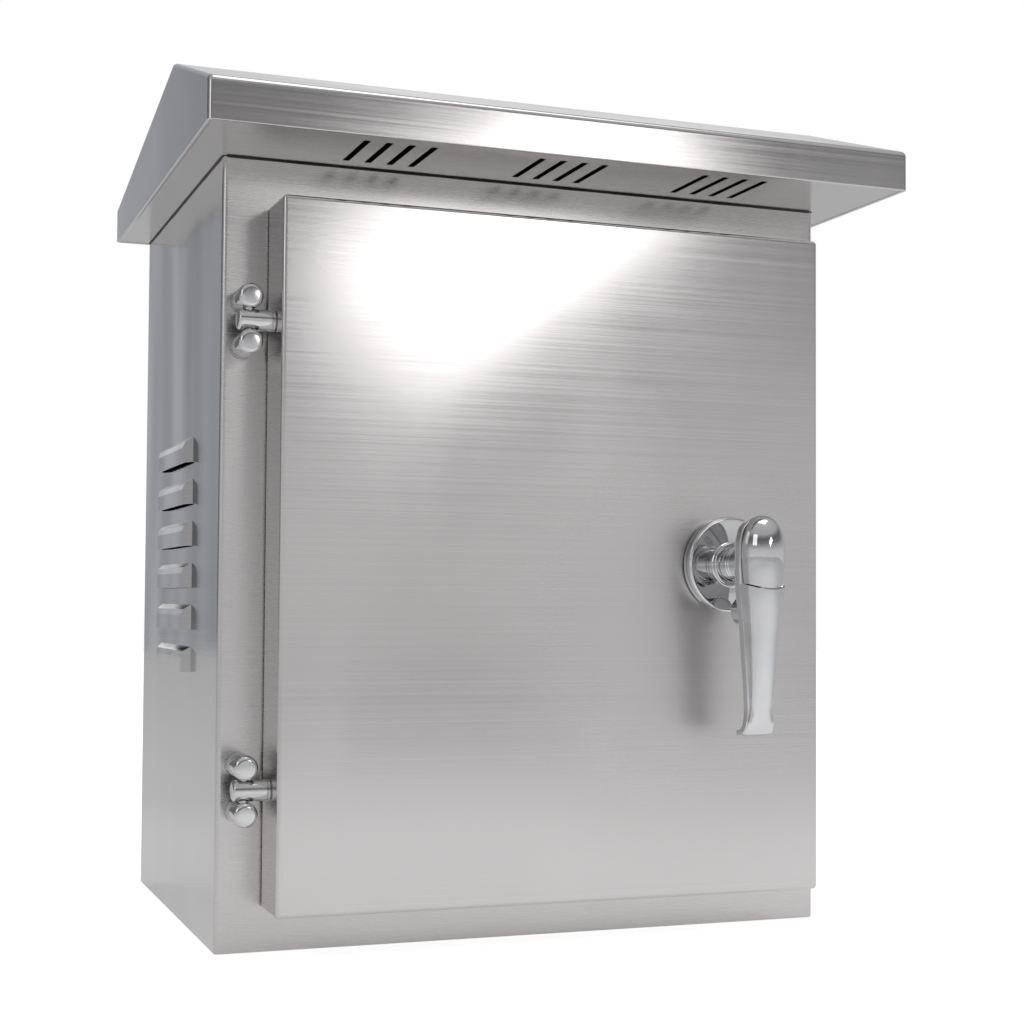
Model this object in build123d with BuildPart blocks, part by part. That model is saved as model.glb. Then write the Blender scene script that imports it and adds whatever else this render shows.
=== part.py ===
from build123d import *
import os

os.makedirs("parts", exist_ok=True)

# Frame of the model: X to the right, Y towards the wall, Z up.
# The origin is the centre of the body's underside.

# Body box, folded from stainless sheet
body_width = 300.0
body_depth = 200.0
body_height = 352.0
sheet = 1.2
bend_radius = 2.2
base_edge_radius = 0.8

# Rain hood
hood_side_overhang = 18.0
hood_front_overhang = 55.0
fascia_height = 18.0
ridge_rise = 48.0
ridge_setback = 84.0
hood_bend_radius = 3.0
gable_edge_radius = 2.2
soffit_upstand = 9.0
soffit_fit = 0.1
soffit_corner_radius = 1.2

# Vent slots in the soffit and in the top of the body
slot_width = 3.1
slot_length = 34.5
slot_pitch = 10.2
slots_per_group = 4
slot_group_pitch = 81.5
slot_wall_gap = 10.5
top_vent_y = 20.0

# Pressed louvres in the side walls
louvre_length = 80.0
louvre_height = 12.0
louvre_bulge = 3.8
louvre_crest_height = 7.0
louvre_shoulder_bulge = 3.0
louvre_shoulder_height = 9.8
louvre_end_taper = 6.0
louvre_pitch = 20.0
louvre_count = 6
louvre_lowest_lip = 120.5
louvre_middle_y = 2.0

# Door pan and the raised collar that it closes over
door_left_margin = 20.4
door_right_margin = 15.6
door_top_margin = 22.0
door_bottom_margin = 19.5
door_depth = 27.6
door_gap = 2.0
door_bend_radius = 1.8
door_return = 5.0
door_return_radius = 1.0
collar_margin = 8.8
collar_corner_radius = 5.0
gasket_thickness = 4.5
gasket_width = 11.0
gasket_edge_bevel = 1.0
soft_gap = 0.3

# Hinges
hinge_from_door_middle = 102.0
pin_from_door = 11.5
pin_from_face = 15.0
pin_radius = 2.0
pin_seat_clearance = 0.02
running_clearance = 0.08
arm_radius = 4.7
arm_beyond_pin = 5.2
arm_end_bevel = 1.4
arm_foot_bevel = 0.6
knuckle_radius = 5.5
knuckle_spacing = 10.0
knuckle_beyond_pin = 6.5
knuckle_end_bevel = 1.8
knuckle_side_gap = 0.3
pin_cover = 2.4
tail_radius = 2.5
tail_hole_clearance = 0.2
knuckle_tail_length = 9.5
arm_tail_length = 7.2
m5_nut_across_flats = 8.0
m5_nut_height = 4.0

# Handle set
handle_from_left = 234.5
handle_height = 173.0
rosette_radius = 22.2
rosette_thickness = 6.2
rosette_edge_bevel = 0.9
rosette_groove_depth = 0.8
rosette_groove_width = 0.8
rosette_groove_height = 2.6
seal_thickness = 0.8
seal_inset = 0.6
neck_ring_radius = 10.4
neck_ring_length = 2.6
neck_ring_bevel = 0.6
barrel_radius = 11.0
barrel_length = 9.0
barrel_hole_clearance = 0.25
lock_nut_across_flats = 30.0
lock_nut_height = 4.5
lever_standoff = 22.0
neck_ring_gap = 0.3
neck_radius = 8.4
neck_band_radius = 9.5
neck_band_length = 4.0
spindle_radius = 5.0
spindle_square = 7.0
boss_radius = 6.8
boss_length = 12.0
boss_drop = 21.6
boss_edge_bevel = 0.6

# Lever: stations from the foot to the top of the head, seen along the spindle.
# Each holds height above the spindle axis, half width, half width of the crowned
# front, depth over the crown and depth of the flank.
lever_stations = [
    (-71.6, 6.3, 5.3, 5.4, 3.4),
    (-62.0, 6.8, 5.9, 7.9, 3.6),
    (-34.0, 8.7, 7.9, 12.0, 4.2),
    (4.0, 11.3, 10.5, 15.2, 4.8),
    (12.0, 10.5, 9.7, 14.4, 4.8),
    (18.0, 7.8, 7.0, 11.7, 4.8),
    (21.5, 2.6, 1.8, 6.5, 4.8),
]
head_flank = 4.8
foot_half_width = 6.2
foot_thickness = 3.4
foot_inner_radius = 3.6
foot_start = -71.6
foot_tip_length = 2.0
cap_wall = 1.4
cap_gap = 0.5
cap_pivot_rise = 11.5
cap_radius = 22.5
cap_pin_radius = 1.5
cap_pin_length = 12.0
cap_boss_radius = 3.2
key_radius = 5.45
key_clearance = 0.05
key_length = 12.0
key_recess = 0.2
key_slot_height = 7.0
key_slot_width = 1.6
key_slot_depth = 5.0
spindle_end_gap = 0.5

# Latch cam on the inner end of the spindle
cam_width = 16.0
cam_reach = 50.0
cam_thickness = 2.5
cam_clearance = 1.8
square_clearance = 0.1
cam_washer_radius = 7.0
cam_washer_thickness = 1.0
cam_bolt_radius = 2.5
cam_bolt_length = 10.0
cam_bolt_head_height = 3.5
bolt_seat_clearance = 0.02

# Mounting plate on four welded studs
plate_width = 200.0
plate_height = 280.0
plate_thickness = 2.0
plate_from_back = 15.0
plate_corner_radius = 4.0
plate_stud_inset = 14.0
stud_radius = 3.0
stud_spacer_across_flats = 10.0
stud_end = 8.0
m6_nut_across_flats = 10.0
m6_nut_height = 5.0
m6_washer_radius = 6.0
m6_washer_thickness = 1.2
stud_hole_clearance = 0.4
earth_stud_x = -124.0
earth_stud_z = 60.0
earth_stud_length = 18.0
door_earth_inset = 40.0
door_earth_length = 14.0

# Holes to fix the body to a wall, and knock-outs for cables in the floor
wall_hole_radius = 4.25
wall_hole_spacing_x = 230.0
wall_hole_spacing_z = 252.0
knockout_radius = 14.0
knockout_groove = 0.8
knockout_depth = 0.5
knockout_pitch = 70.0
knockout_y = 30.0

# Bolts that hold the hood down on the body
hood_bolt_spacing_x = 220.0
hood_bolt_spacing_y = 120.0
hood_bolt_radius = 2.5
hood_bolt_head_height = 3.0
hood_bolt_hole_clearance = 0.2
hood_bolt_length = 9.0

# Planes and places worked out from the sizes above
front_y = -body_depth / 2
back_y = body_depth / 2
door_left_x = -body_width / 2 + door_left_margin
door_right_x = body_width / 2 - door_right_margin
door_width = door_right_x - door_left_x
door_height = body_height - door_top_margin - door_bottom_margin
door_x = (door_left_x + door_right_x) / 2
door_z = door_bottom_margin + door_height / 2
door_back_y = front_y - door_gap
door_face_y = door_back_y - door_depth
door_inner_y = door_face_y + sheet
collar_width = door_width - 2 * (sheet + collar_margin)
collar_height = door_height - 2 * (sheet + collar_margin)
collar_front_y = door_inner_y + gasket_thickness + soft_gap
collar_depth = front_y - collar_front_y
pin_x = door_left_x - pin_from_door
pin_y = front_y - pin_from_face
hinge_heights = {
    "upper": door_z + hinge_from_door_middle,
    "lower": door_z - hinge_from_door_middle,
}
handle_x = -body_width / 2 + handle_from_left
handle_z = handle_height
rosette_back_y = door_face_y - seal_thickness
rosette_face_y = rosette_back_y - rosette_thickness
lever_back_y = rosette_face_y - lever_standoff
head_plane_y = lever_back_y - head_flank
cap_pivot_z = handle_z + cap_pivot_rise
cam_front_y = front_y + sheet + cam_clearance
cam_back_y = cam_front_y + cam_thickness
spindle_front_y = head_plane_y + key_recess + key_length + spindle_end_gap
plate_back_y = back_y - plate_from_back
plate_front_y = plate_back_y - plate_thickness
hood_base = body_height
hood_width = body_width + 2 * hood_side_overhang
hood_front_y = front_y - hood_front_overhang
ridge_y = hood_front_y + ridge_setback


# Plane that faces the front of the cabinet and stands at a given depth
def facing_front(y):
    return Plane.XZ.offset(-y)


# Corner radius of a hexagon of a given size across its flats
def hexagon_radius(across_flats):
    return across_flats / 3**0.5


# Solid of one pressed louvre on the left wall, with its lip at height zero.
# The inset makes the same form one sheet thickness smaller, as its hollow.
def louvre_form(inset, root):
    bulge = louvre_bulge - inset
    shoulder = louvre_shoulder_bulge - inset
    half_length = louvre_length / 2 - inset
    half_crest = half_length - louvre_end_taper
    with BuildPart() as form:
        with BuildSketch(facing_front(half_length)):
            with BuildLine():
                Polyline(
                    (root, 0),
                    (-bulge, 0),
                    (-bulge, louvre_crest_height - inset / 2),
                    (-shoulder, louvre_shoulder_height - inset / 2),
                    (0, louvre_height - inset),
                    (root, louvre_height - inset),
                    close=True,
                )
            make_face()
        extrude(amount=2 * half_length)
        with BuildSketch(Plane.XY):
            with BuildLine():
                Polyline(
                    (root, half_length),
                    (0, half_length),
                    (-bulge, half_crest),
                    (-bulge, -half_crest),
                    (0, -half_length),
                    (root, -half_length),
                    close=True,
                )
            make_face()
        extrude(amount=louvre_height, mode=Mode.INTERSECT)
    return form.part


louvre_skin = louvre_form(inset=0.0, root=sheet / 2)
louvre_hollow = louvre_form(inset=sheet, root=2 * sheet)
louvre_heights = [louvre_lowest_lip + row * louvre_pitch for row in range(louvre_count)]
left_louvre_places = [(-body_width / 2, louvre_middle_y, lip) for lip in louvre_heights]
right_louvre_places = [(body_width / 2, louvre_middle_y, lip) for lip in louvre_heights]

# Centres of the slots across the width, in groups
slot_xs = []
for group in (-1, 0, 1):
    for slot in range(slots_per_group):
        slot_xs.append(group * slot_group_pitch + (slot - (slots_per_group - 1) / 2) * slot_pitch)
soffit_slot_y = front_y - slot_wall_gap - slot_length / 2

# Rows of places for what is fixed in fours
hood_bolt_places = GridLocations(hood_bolt_spacing_x, hood_bolt_spacing_y, 2, 2).locations
wall_hole_places = GridLocations(wall_hole_spacing_x, wall_hole_spacing_z, 2, 2).locations
stud_spacing_x = plate_width - 2 * plate_stud_inset
stud_spacing_z = plate_height - 2 * plate_stud_inset
stud_places = GridLocations(stud_spacing_x, stud_spacing_z, 2, 2).locations
knuckle_places = []
for hinge_z in hinge_heights.values():
    for side in (-1, 1):
        knuckle_places.append((pin_x, hinge_z + side * knuckle_spacing))

# Body shell: a folded box with a face frame round the doorway
with BuildPart() as body_shell:
    with BuildSketch():
        RectangleRounded(body_width, body_depth, bend_radius)
    extrude(amount=body_height)
    fillet(body_shell.faces().sort_by(Axis.Z)[0].edges(), radius=base_edge_radius)
    with BuildSketch(Plane.XY.offset(sheet)):
        RectangleRounded(body_width - 2 * sheet, body_depth - 2 * sheet, bend_radius - sheet)
    extrude(amount=body_height - 2 * sheet, mode=Mode.SUBTRACT)
    with BuildSketch(facing_front(front_y + 2 * sheet)):
        with Locations((door_x, door_z)):
            RectangleRounded(collar_width, collar_height, collar_corner_radius)
    extrude(amount=3 * sheet, mode=Mode.SUBTRACT)
    with Locations(*left_louvre_places):
        add(louvre_skin)
        add(louvre_hollow, mode=Mode.SUBTRACT)
    with Locations(*right_louvre_places):
        add(louvre_skin.mirror(Plane.YZ))
        add(louvre_hollow.mirror(Plane.YZ), mode=Mode.SUBTRACT)
    with BuildSketch(facing_front(front_y + 2 * sheet)):
        with Locations(*knuckle_places):
            Circle(tail_radius + tail_hole_clearance)
    extrude(amount=3 * sheet, mode=Mode.SUBTRACT)
    with BuildSketch(facing_front(back_y + sheet)):
        with Locations((0, body_height / 2)):
            with Locations(*wall_hole_places):
                Circle(wall_hole_radius)
    extrude(amount=3 * sheet, mode=Mode.SUBTRACT)
    with BuildSketch(Plane.XY.offset(body_height - 2 * sheet)):
        with Locations(*hood_bolt_places):
            Circle(hood_bolt_radius + hood_bolt_hole_clearance)
        with Locations(*[(x, top_vent_y) for x in slot_xs]):
            Rectangle(slot_width, slot_length)
    extrude(amount=3 * sheet, mode=Mode.SUBTRACT)
    with BuildSketch():
        with Locations((-knockout_pitch / 2, knockout_y), (knockout_pitch / 2, knockout_y)):
            Circle(knockout_radius)
            Circle(knockout_radius - knockout_groove, mode=Mode.SUBTRACT)
    extrude(amount=knockout_depth, mode=Mode.SUBTRACT)
body_shell.part.label = "body_shell"

# Collar: an upright strip welded into the doorway, which the door closes over
with BuildPart() as doorway_collar:
    with BuildSketch(facing_front(front_y + sheet)):
        with Locations((door_x, door_z)):
            RectangleRounded(collar_width, collar_height, collar_corner_radius)
            RectangleRounded(
                collar_width - 2 * sheet,
                collar_height - 2 * sheet,
                collar_corner_radius - sheet,
                mode=Mode.SUBTRACT,
            )
    extrude(amount=collar_depth + sheet)
doorway_collar.part.label = "doorway_collar"

# Rain hood: a gabled roof with upright fascias, open underneath
with BuildPart() as hood_roof:
    with BuildSketch(Plane.YZ.offset(-hood_width / 2)):
        with BuildLine():
            Polyline(
                (hood_front_y, hood_base),
                (hood_front_y, hood_base + fascia_height),
                (ridge_y, hood_base + ridge_rise),
                (back_y, hood_base + fascia_height),
                (back_y, hood_base),
                close=True,
            )
        make_face()
    extrude(amount=hood_width)
    folds = hood_roof.edges().filter_by(Axis.X).filter_by(lambda e: e.center().Z > hood_base + sheet)
    fillet(folds, radius=hood_bend_radius)
    gable_ends = hood_roof.faces().filter_by(Plane.YZ)
    rims = [e for e in gable_ends.edges() if e.center().Z > hood_base + sheet]
    fillet(rims, radius=gable_edge_radius)
    underside = hood_roof.faces().sort_by(Axis.Z)[0]
    offset(amount=-sheet, openings=underside)
hood_roof.part.label = "hood_roof"

# Soffit: a slotted tray that closes the hood from below and lies on the body
soffit_width = hood_width - 2 * (sheet + soffit_fit)
soffit_depth = back_y - hood_front_y - 2 * (sheet + soffit_fit)
soffit_y = (back_y + hood_front_y) / 2
with BuildPart() as hood_soffit:
    with BuildSketch(Plane.XY.offset(hood_base)):
        with Locations((0, soffit_y)):
            RectangleRounded(soffit_width, soffit_depth, soffit_corner_radius)
    extrude(amount=soffit_upstand)
    with BuildSketch(Plane.XY.offset(hood_base + sheet)):
        with Locations((0, soffit_y)):
            Rectangle(soffit_width - 2 * sheet, soffit_depth - 2 * sheet)
    extrude(amount=soffit_upstand, mode=Mode.SUBTRACT)
    with BuildSketch(Plane.XY.offset(hood_base - sheet)):
        with Locations(*[(x, soffit_slot_y) for x in slot_xs]):
            Rectangle(slot_width, slot_length)
        with Locations(*[(x, top_vent_y) for x in slot_xs]):
            Rectangle(slot_width, slot_length)
        with Locations(*hood_bolt_places):
            Circle(hood_bolt_radius + hood_bolt_hole_clearance)
    extrude(amount=3 * sheet, mode=Mode.SUBTRACT)
hood_soffit.part.label = "hood_soffit"

# Bolts through the top of the body into the hood, and their nuts
hood_bolt_seat_z = body_height - sheet
with BuildPart() as hood_bolts:
    with BuildSketch(Plane.XY.offset(hood_bolt_seat_z - hood_bolt_head_height)):
        with Locations(*hood_bolt_places):
            RegularPolygon(hexagon_radius(m5_nut_across_flats), 6)
    extrude(amount=hood_bolt_head_height)
    with BuildSketch(Plane.XY.offset(hood_bolt_seat_z)):
        with Locations(*hood_bolt_places):
            Circle(hood_bolt_radius)
    extrude(amount=hood_bolt_length)
hood_bolts.part.label = "hood_bolts"

with BuildPart() as hood_nuts:
    with BuildSketch(Plane.XY.offset(hood_base + sheet)):
        with Locations(*hood_bolt_places):
            RegularPolygon(hexagon_radius(m5_nut_across_flats), 6)
            Circle(hood_bolt_radius + bolt_seat_clearance, mode=Mode.SUBTRACT)
    extrude(amount=m5_nut_height)
hood_nuts.part.label = "hood_nuts"

# Hinges: two round knuckles on the frame, a round arm on the door, and a pin
knuckle_face_y = pin_y - knuckle_beyond_pin
arm_slot_height = 2 * (arm_radius + knuckle_side_gap)
pin_half_length = knuckle_spacing + knuckle_radius - pin_cover
hinge_parts = {}
for side_name, hinge_z in hinge_heights.items():
    with BuildPart() as knuckles:
        with BuildSketch(facing_front(front_y)):
            with Locations(*[(pin_x, hinge_z + side * knuckle_spacing) for side in (-1, 1)]):
                Circle(knuckle_radius)
        extrude(amount=front_y - knuckle_face_y)
        front_rims = knuckles.faces().group_by(Axis.Y)[0].edges()
        chamfer(front_rims, length=knuckle_end_bevel)
        with Locations((pin_x, knuckle_face_y, hinge_z)):
            Box(4 * knuckle_radius, 4 * pin_from_face, arm_slot_height, mode=Mode.SUBTRACT)
        with BuildSketch(facing_front(front_y + knuckle_tail_length)):
            with Locations(*[(pin_x, hinge_z + side * knuckle_spacing) for side in (-1, 1)]):
                Circle(tail_radius)
        extrude(amount=knuckle_tail_length)
        with BuildSketch(Plane.XY.offset(hinge_z - 2 * knuckle_spacing)):
            with Locations((pin_x, pin_y)):
                Circle(pin_radius + pin_seat_clearance)
        extrude(amount=2 * knuckle_spacing + pin_half_length + knuckle_side_gap, mode=Mode.SUBTRACT)
    knuckles.part.label = f"{side_name}_hinge_knuckles"
    hinge_parts[knuckles.part.label] = knuckles.part

    with BuildPart() as pin:
        with BuildSketch(Plane.XY.offset(hinge_z - pin_half_length)):
            with Locations((pin_x, pin_y)):
                Circle(pin_radius)
        extrude(amount=2 * pin_half_length)
    pin.part.label = f"{side_name}_hinge_pin"
    hinge_parts[pin.part.label] = pin.part

    with BuildPart() as arm:
        with BuildSketch(Plane.YZ.offset(pin_x - arm_beyond_pin)):
            with Locations((pin_y, hinge_z)):
                Circle(arm_radius)
        extrude(amount=door_left_x - pin_x + arm_beyond_pin)
        chamfer(arm.faces().sort_by(Axis.X)[0].edges(), length=arm_end_bevel)
        chamfer(arm.faces().sort_by(Axis.X)[-1].edges(), length=arm_foot_bevel)
        with BuildSketch(Plane.YZ.offset(door_left_x)):
            with Locations((pin_y, hinge_z)):
                Circle(tail_radius)
        extrude(amount=arm_tail_length)
        with BuildSketch(Plane.XY.offset(hinge_z - knuckle_spacing)):
            with Locations((pin_x, pin_y)):
                Circle(pin_radius + running_clearance)
        extrude(amount=2 * knuckle_spacing, mode=Mode.SUBTRACT)
    arm.part.label = f"{side_name}_hinge_arm"
    hinge_parts[arm.part.label] = arm.part

with BuildPart() as knuckle_nuts:
    with BuildSketch(facing_front(front_y + sheet + m5_nut_height)):
        with Locations(*knuckle_places):
            RegularPolygon(hexagon_radius(m5_nut_across_flats), 6)
            Circle(tail_radius + bolt_seat_clearance, mode=Mode.SUBTRACT)
    extrude(amount=m5_nut_height)
knuckle_nuts.part.label = "knuckle_nuts"

with BuildPart() as arm_nuts:
    with BuildSketch(Plane.YZ.offset(door_left_x + sheet)):
        with Locations(*[(pin_y, hinge_z) for hinge_z in hinge_heights.values()]):
            RegularPolygon(hexagon_radius(m5_nut_across_flats), 6)
            Circle(tail_radius + bolt_seat_clearance, mode=Mode.SUBTRACT)
    extrude(amount=m5_nut_height)
arm_nuts.part.label = "arm_nuts"

# Door: a pan folded from one sheet, with a narrow return round its back
with BuildPart() as door_panel:
    with BuildSketch(facing_front(door_back_y)):
        with Locations((door_x, door_z)):
            RectangleRounded(door_width, door_height, door_bend_radius)
    extrude(amount=door_depth)
    fillet(door_panel.faces().sort_by(Axis.Y)[0].edges(), radius=door_bend_radius)
    offset(amount=-sheet, openings=door_panel.faces().sort_by(Axis.Y)[-1])
    with BuildSketch(facing_front(door_back_y)):
        with Locations((door_x, door_z)):
            RectangleRounded(door_width, door_height, door_bend_radius)
            Rectangle(door_width - 2 * door_return, door_height - 2 * door_return, mode=Mode.SUBTRACT)
    extrude(amount=sheet)
    back_rim = door_panel.faces().sort_by(Axis.Y)[-1].outer_wire().edges()
    fillet(back_rim, radius=door_return_radius)
    with BuildSketch(facing_front(door_face_y + 2 * sheet)):
        with Locations((handle_x, handle_z)):
            Circle(barrel_radius + barrel_hole_clearance)
    extrude(amount=3 * sheet, mode=Mode.SUBTRACT)
    with BuildSketch(Plane.YZ.offset(door_left_x - sheet)):
        with Locations(*[(pin_y, hinge_z) for hinge_z in hinge_heights.values()]):
            Circle(tail_radius + tail_hole_clearance)
    extrude(amount=3 * sheet, mode=Mode.SUBTRACT)
door_panel.part.label = "door_panel"

# Foam seal on the inside of the door, where the collar presses
with BuildPart() as door_gasket:
    with BuildSketch(facing_front(door_inner_y + gasket_thickness)):
        with Locations((door_x, door_z)):
            RectangleRounded(
                collar_width - sheet + gasket_width, collar_height - sheet + gasket_width, gasket_width
            )
            RectangleRounded(
                collar_width - sheet - gasket_width,
                collar_height - sheet - gasket_width,
                collar_corner_radius / 2,
                mode=Mode.SUBTRACT,
            )
    extrude(amount=gasket_thickness)
    chamfer(door_gasket.faces().sort_by(Axis.Y)[-1].edges(), length=gasket_edge_bevel)
door_gasket.part.label = "door_gasket"

# Rosette: a turned disc with a groove and a neck ring, and a barrel through the door
with BuildPart() as rosette:
    with BuildSketch(facing_front(rosette_back_y)):
        with Locations((handle_x, handle_z)):
            Circle(rosette_radius)
    extrude(amount=rosette_thickness)
    chamfer(rosette.faces().sort_by(Axis.Y)[0].edges(), length=rosette_edge_bevel)
    with BuildSketch(facing_front(rosette_back_y - rosette_groove_height)):
        with Locations((handle_x, handle_z)):
            Circle(2 * rosette_radius)
            Circle(rosette_radius - rosette_groove_depth, mode=Mode.SUBTRACT)
    extrude(amount=rosette_groove_width, mode=Mode.SUBTRACT)
    with BuildSketch(facing_front(rosette_face_y)):
        with Locations((handle_x, handle_z)):
            Circle(neck_ring_radius)
    extrude(amount=neck_ring_length)
    chamfer(rosette.faces().sort_by(Axis.Y)[0].edges(), length=neck_ring_bevel)
    with BuildSketch(facing_front(rosette_back_y + barrel_length)):
        with Locations((handle_x, handle_z)):
            Circle(barrel_radius)
    extrude(amount=barrel_length)
    with BuildSketch(facing_front(rosette_back_y + 2 * barrel_length)):
        with Locations((handle_x, handle_z)):
            Circle(spindle_radius + running_clearance)
    extrude(amount=4 * barrel_length, mode=Mode.SUBTRACT)
rosette.part.label = "rosette"

with BuildPart() as rosette_seal:
    with BuildSketch(facing_front(door_face_y)):
        with Locations((handle_x, handle_z)):
            Circle(rosette_radius - seal_inset)
            Circle(barrel_radius + barrel_hole_clearance, mode=Mode.SUBTRACT)
    extrude(amount=seal_thickness)
rosette_seal.part.label = "rosette_seal"

with BuildPart() as lock_nut:
    with BuildSketch(facing_front(door_inner_y + lock_nut_height)):
        with Locations((handle_x, handle_z)):
            RegularPolygon(hexagon_radius(lock_nut_across_flats), 6)
            Circle(barrel_radius + bolt_seat_clearance, mode=Mode.SUBTRACT)
    extrude(amount=lock_nut_height)
lock_nut.part.label = "lock_nut"


# A size made smaller by an inset, but never by more than half
def thinned(size, inset):
    return max(size - inset, size / 2)


# Lofted form of the lever. The inset makes its crowned front smaller, as a hollow.
def lever_form(inset):
    with BuildPart() as form:
        for height, half_width, crown_half_width, depth, flank in lever_stations:
            top_drop = inset if height > 0 else 0.0
            origin = (handle_x, lever_back_y, handle_z + height - top_drop)
            crown = thinned(crown_half_width, inset)
            rise = thinned(depth - flank, inset)
            with BuildSketch(Plane(origin=origin, x_dir=(1, 0, 0), z_dir=(0, 0, 1))):
                with BuildLine():
                    Polyline((crown, -flank), (half_width, -flank), (half_width, 0), (-half_width, 0))
                    Polyline((-half_width, 0), (-half_width, -flank), (-crown, -flank))
                    EllipticalCenterArc((0, -flank), crown, rise, 180, arc_size=180)
                make_face()
        loft()
    return form.part


lever_solid = lever_form(inset=0.0)
lever_inner = lever_form(inset=cap_wall)

# Space in front of the head that the swinging cap fills
def cap_space(radius, rear_y):
    with BuildPart() as space:
        with BuildSketch(facing_front(rear_y)):
            with Locations((handle_x, cap_pivot_z)):
                Circle(radius)
        extrude(amount=2 * cap_radius)
    return space.part


# Lever: grip, flat head, boss behind it, turned neck and curled foot
with BuildPart() as lever:
    add(lever_solid)
    add(cap_space(cap_radius + cap_gap, head_plane_y), mode=Mode.SUBTRACT)
    foot_plane = Plane(
        origin=(handle_x, lever_back_y - foot_thickness / 2, handle_z + foot_start),
        x_dir=(1, 0, 0),
        z_dir=(0, 0, -1),
    )
    with BuildSketch(foot_plane):
        Rectangle(2 * foot_half_width, foot_thickness)
    foot_axis_y = lever_back_y + foot_inner_radius
    foot_axis = Axis((handle_x, foot_axis_y, handle_z + foot_start), (1, 0, 0))
    revolve(axis=foot_axis, revolution_arc=90)
    tip_plane = Plane(
        origin=(handle_x, foot_axis_y, handle_z + foot_start - foot_inner_radius - foot_thickness / 2),
        x_dir=(1, 0, 0),
        z_dir=(0, 1, 0),
    )
    with BuildSketch(tip_plane):
        Rectangle(2 * foot_half_width, foot_thickness)
    extrude(amount=foot_tip_length)
    with BuildSketch(facing_front(rosette_face_y - neck_ring_length - neck_ring_gap)):
        with Locations((handle_x, handle_z)):
            Circle(neck_radius)
    extrude(amount=lever_standoff - neck_ring_length - neck_ring_gap)
    with BuildSketch(facing_front(lever_back_y + neck_band_length)):
        with Locations((handle_x, handle_z)):
            Circle(neck_band_radius)
    extrude(amount=neck_band_length)
    with BuildSketch(facing_front(lever_back_y + boss_length)):
        with Locations((handle_x, handle_z - boss_drop)):
            Circle(boss_radius)
    extrude(amount=boss_length)
    boss_rim = lever.edges().filter_by(GeomType.CIRCLE).sort_by_distance(
        (handle_x, lever_back_y + boss_length, handle_z - boss_drop - boss_radius)
    )[0]
    chamfer(boss_rim, length=boss_edge_bevel)
    with BuildSketch(facing_front(rosette_face_y)):
        with Locations((handle_x, handle_z)):
            Circle(spindle_radius + pin_seat_clearance)
    extrude(amount=rosette_face_y - spindle_front_y, mode=Mode.SUBTRACT)
    with BuildSketch(facing_front(head_plane_y + key_recess + key_length)):
        with Locations((handle_x, handle_z)):
            Circle(key_radius + key_clearance)
    extrude(amount=2 * key_length, mode=Mode.SUBTRACT)
    with BuildSketch(facing_front(head_plane_y)):
        with Locations((handle_x, cap_pivot_z)):
            Circle(cap_pin_radius + pin_seat_clearance)
    extrude(amount=-head_flank, mode=Mode.SUBTRACT)
lever.part.label = "lever"

# Spindle: round in the rosette, square where it carries the cam
with BuildPart() as spindle:
    with BuildSketch(facing_front(cam_front_y)):
        with Locations((handle_x, handle_z)):
            Circle(spindle_radius)
    extrude(amount=cam_front_y - spindle_front_y)
    with BuildSketch(facing_front(cam_back_y)):
        with Locations((handle_x, handle_z)):
            Rectangle(spindle_square, spindle_square)
    extrude(amount=cam_thickness)
    with BuildSketch(facing_front(cam_back_y)):
        with Locations((handle_x, handle_z)):
            Circle(cam_bolt_radius + bolt_seat_clearance)
    extrude(amount=cam_bolt_length + cam_thickness, mode=Mode.SUBTRACT)
spindle.part.label = "spindle"

# Latch cam: a flat arm that a quarter turn brings behind the face frame
cam_tip_z = handle_z + cam_reach - cam_width / 2
with BuildPart() as latch_cam:
    with BuildSketch(facing_front(cam_back_y)):
        with Locations((handle_x, (handle_z + cam_tip_z) / 2)):
            SlotCenterToCenter(cam_tip_z - handle_z, cam_width, rotation=90)
        with Locations((handle_x, handle_z)):
            square_hole = spindle_square + 2 * square_clearance
            Rectangle(square_hole, square_hole, mode=Mode.SUBTRACT)
    extrude(amount=cam_thickness)
latch_cam.part.label = "latch_cam"

with BuildPart() as cam_washer:
    with BuildSketch(facing_front(cam_back_y + cam_washer_thickness)):
        with Locations((handle_x, handle_z)):
            Circle(cam_washer_radius)
            Circle(cam_bolt_radius + tail_hole_clearance, mode=Mode.SUBTRACT)
    extrude(amount=cam_washer_thickness)
cam_washer.part.label = "cam_washer"

cam_bolt_seat_y = cam_back_y + cam_washer_thickness
with BuildPart() as cam_bolt:
    with BuildSketch(facing_front(cam_bolt_seat_y + cam_bolt_head_height)):
        with Locations((handle_x, handle_z)):
            RegularPolygon(hexagon_radius(m5_nut_across_flats), 6)
    extrude(amount=cam_bolt_head_height)
    with BuildSketch(facing_front(cam_bolt_seat_y)):
        with Locations((handle_x, handle_z)):
            Circle(cam_bolt_radius)
    extrude(amount=cam_bolt_length)
cam_bolt.part.label = "cam_bolt"

# Swinging cap: the hollow front of the lever's head, hung on a pin
with BuildPart() as dust_cap:
    add(lever_solid)
    add(cap_space(cap_radius, head_plane_y - cap_gap / 2), mode=Mode.INTERSECT)
    add(lever_inner, mode=Mode.SUBTRACT)
    with BuildSketch(facing_front(head_plane_y - cap_gap / 2)):
        with Locations((handle_x, cap_pivot_z)):
            Circle(cap_boss_radius)
    extrude(until=Until.NEXT)
    with BuildSketch(facing_front(head_plane_y)):
        with Locations((handle_x, cap_pivot_z)):
            Circle(cap_pin_radius + running_clearance)
    extrude(amount=cap_pin_length - head_flank + cap_gap, mode=Mode.SUBTRACT)
dust_cap.part.label = "dust_cap"

with BuildPart() as cap_pin:
    with BuildSketch(facing_front(lever_back_y)):
        with Locations((handle_x, cap_pivot_z)):
            Circle(cap_pin_radius)
    extrude(amount=cap_pin_length)
cap_pin.part.label = "cap_pin"

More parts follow.
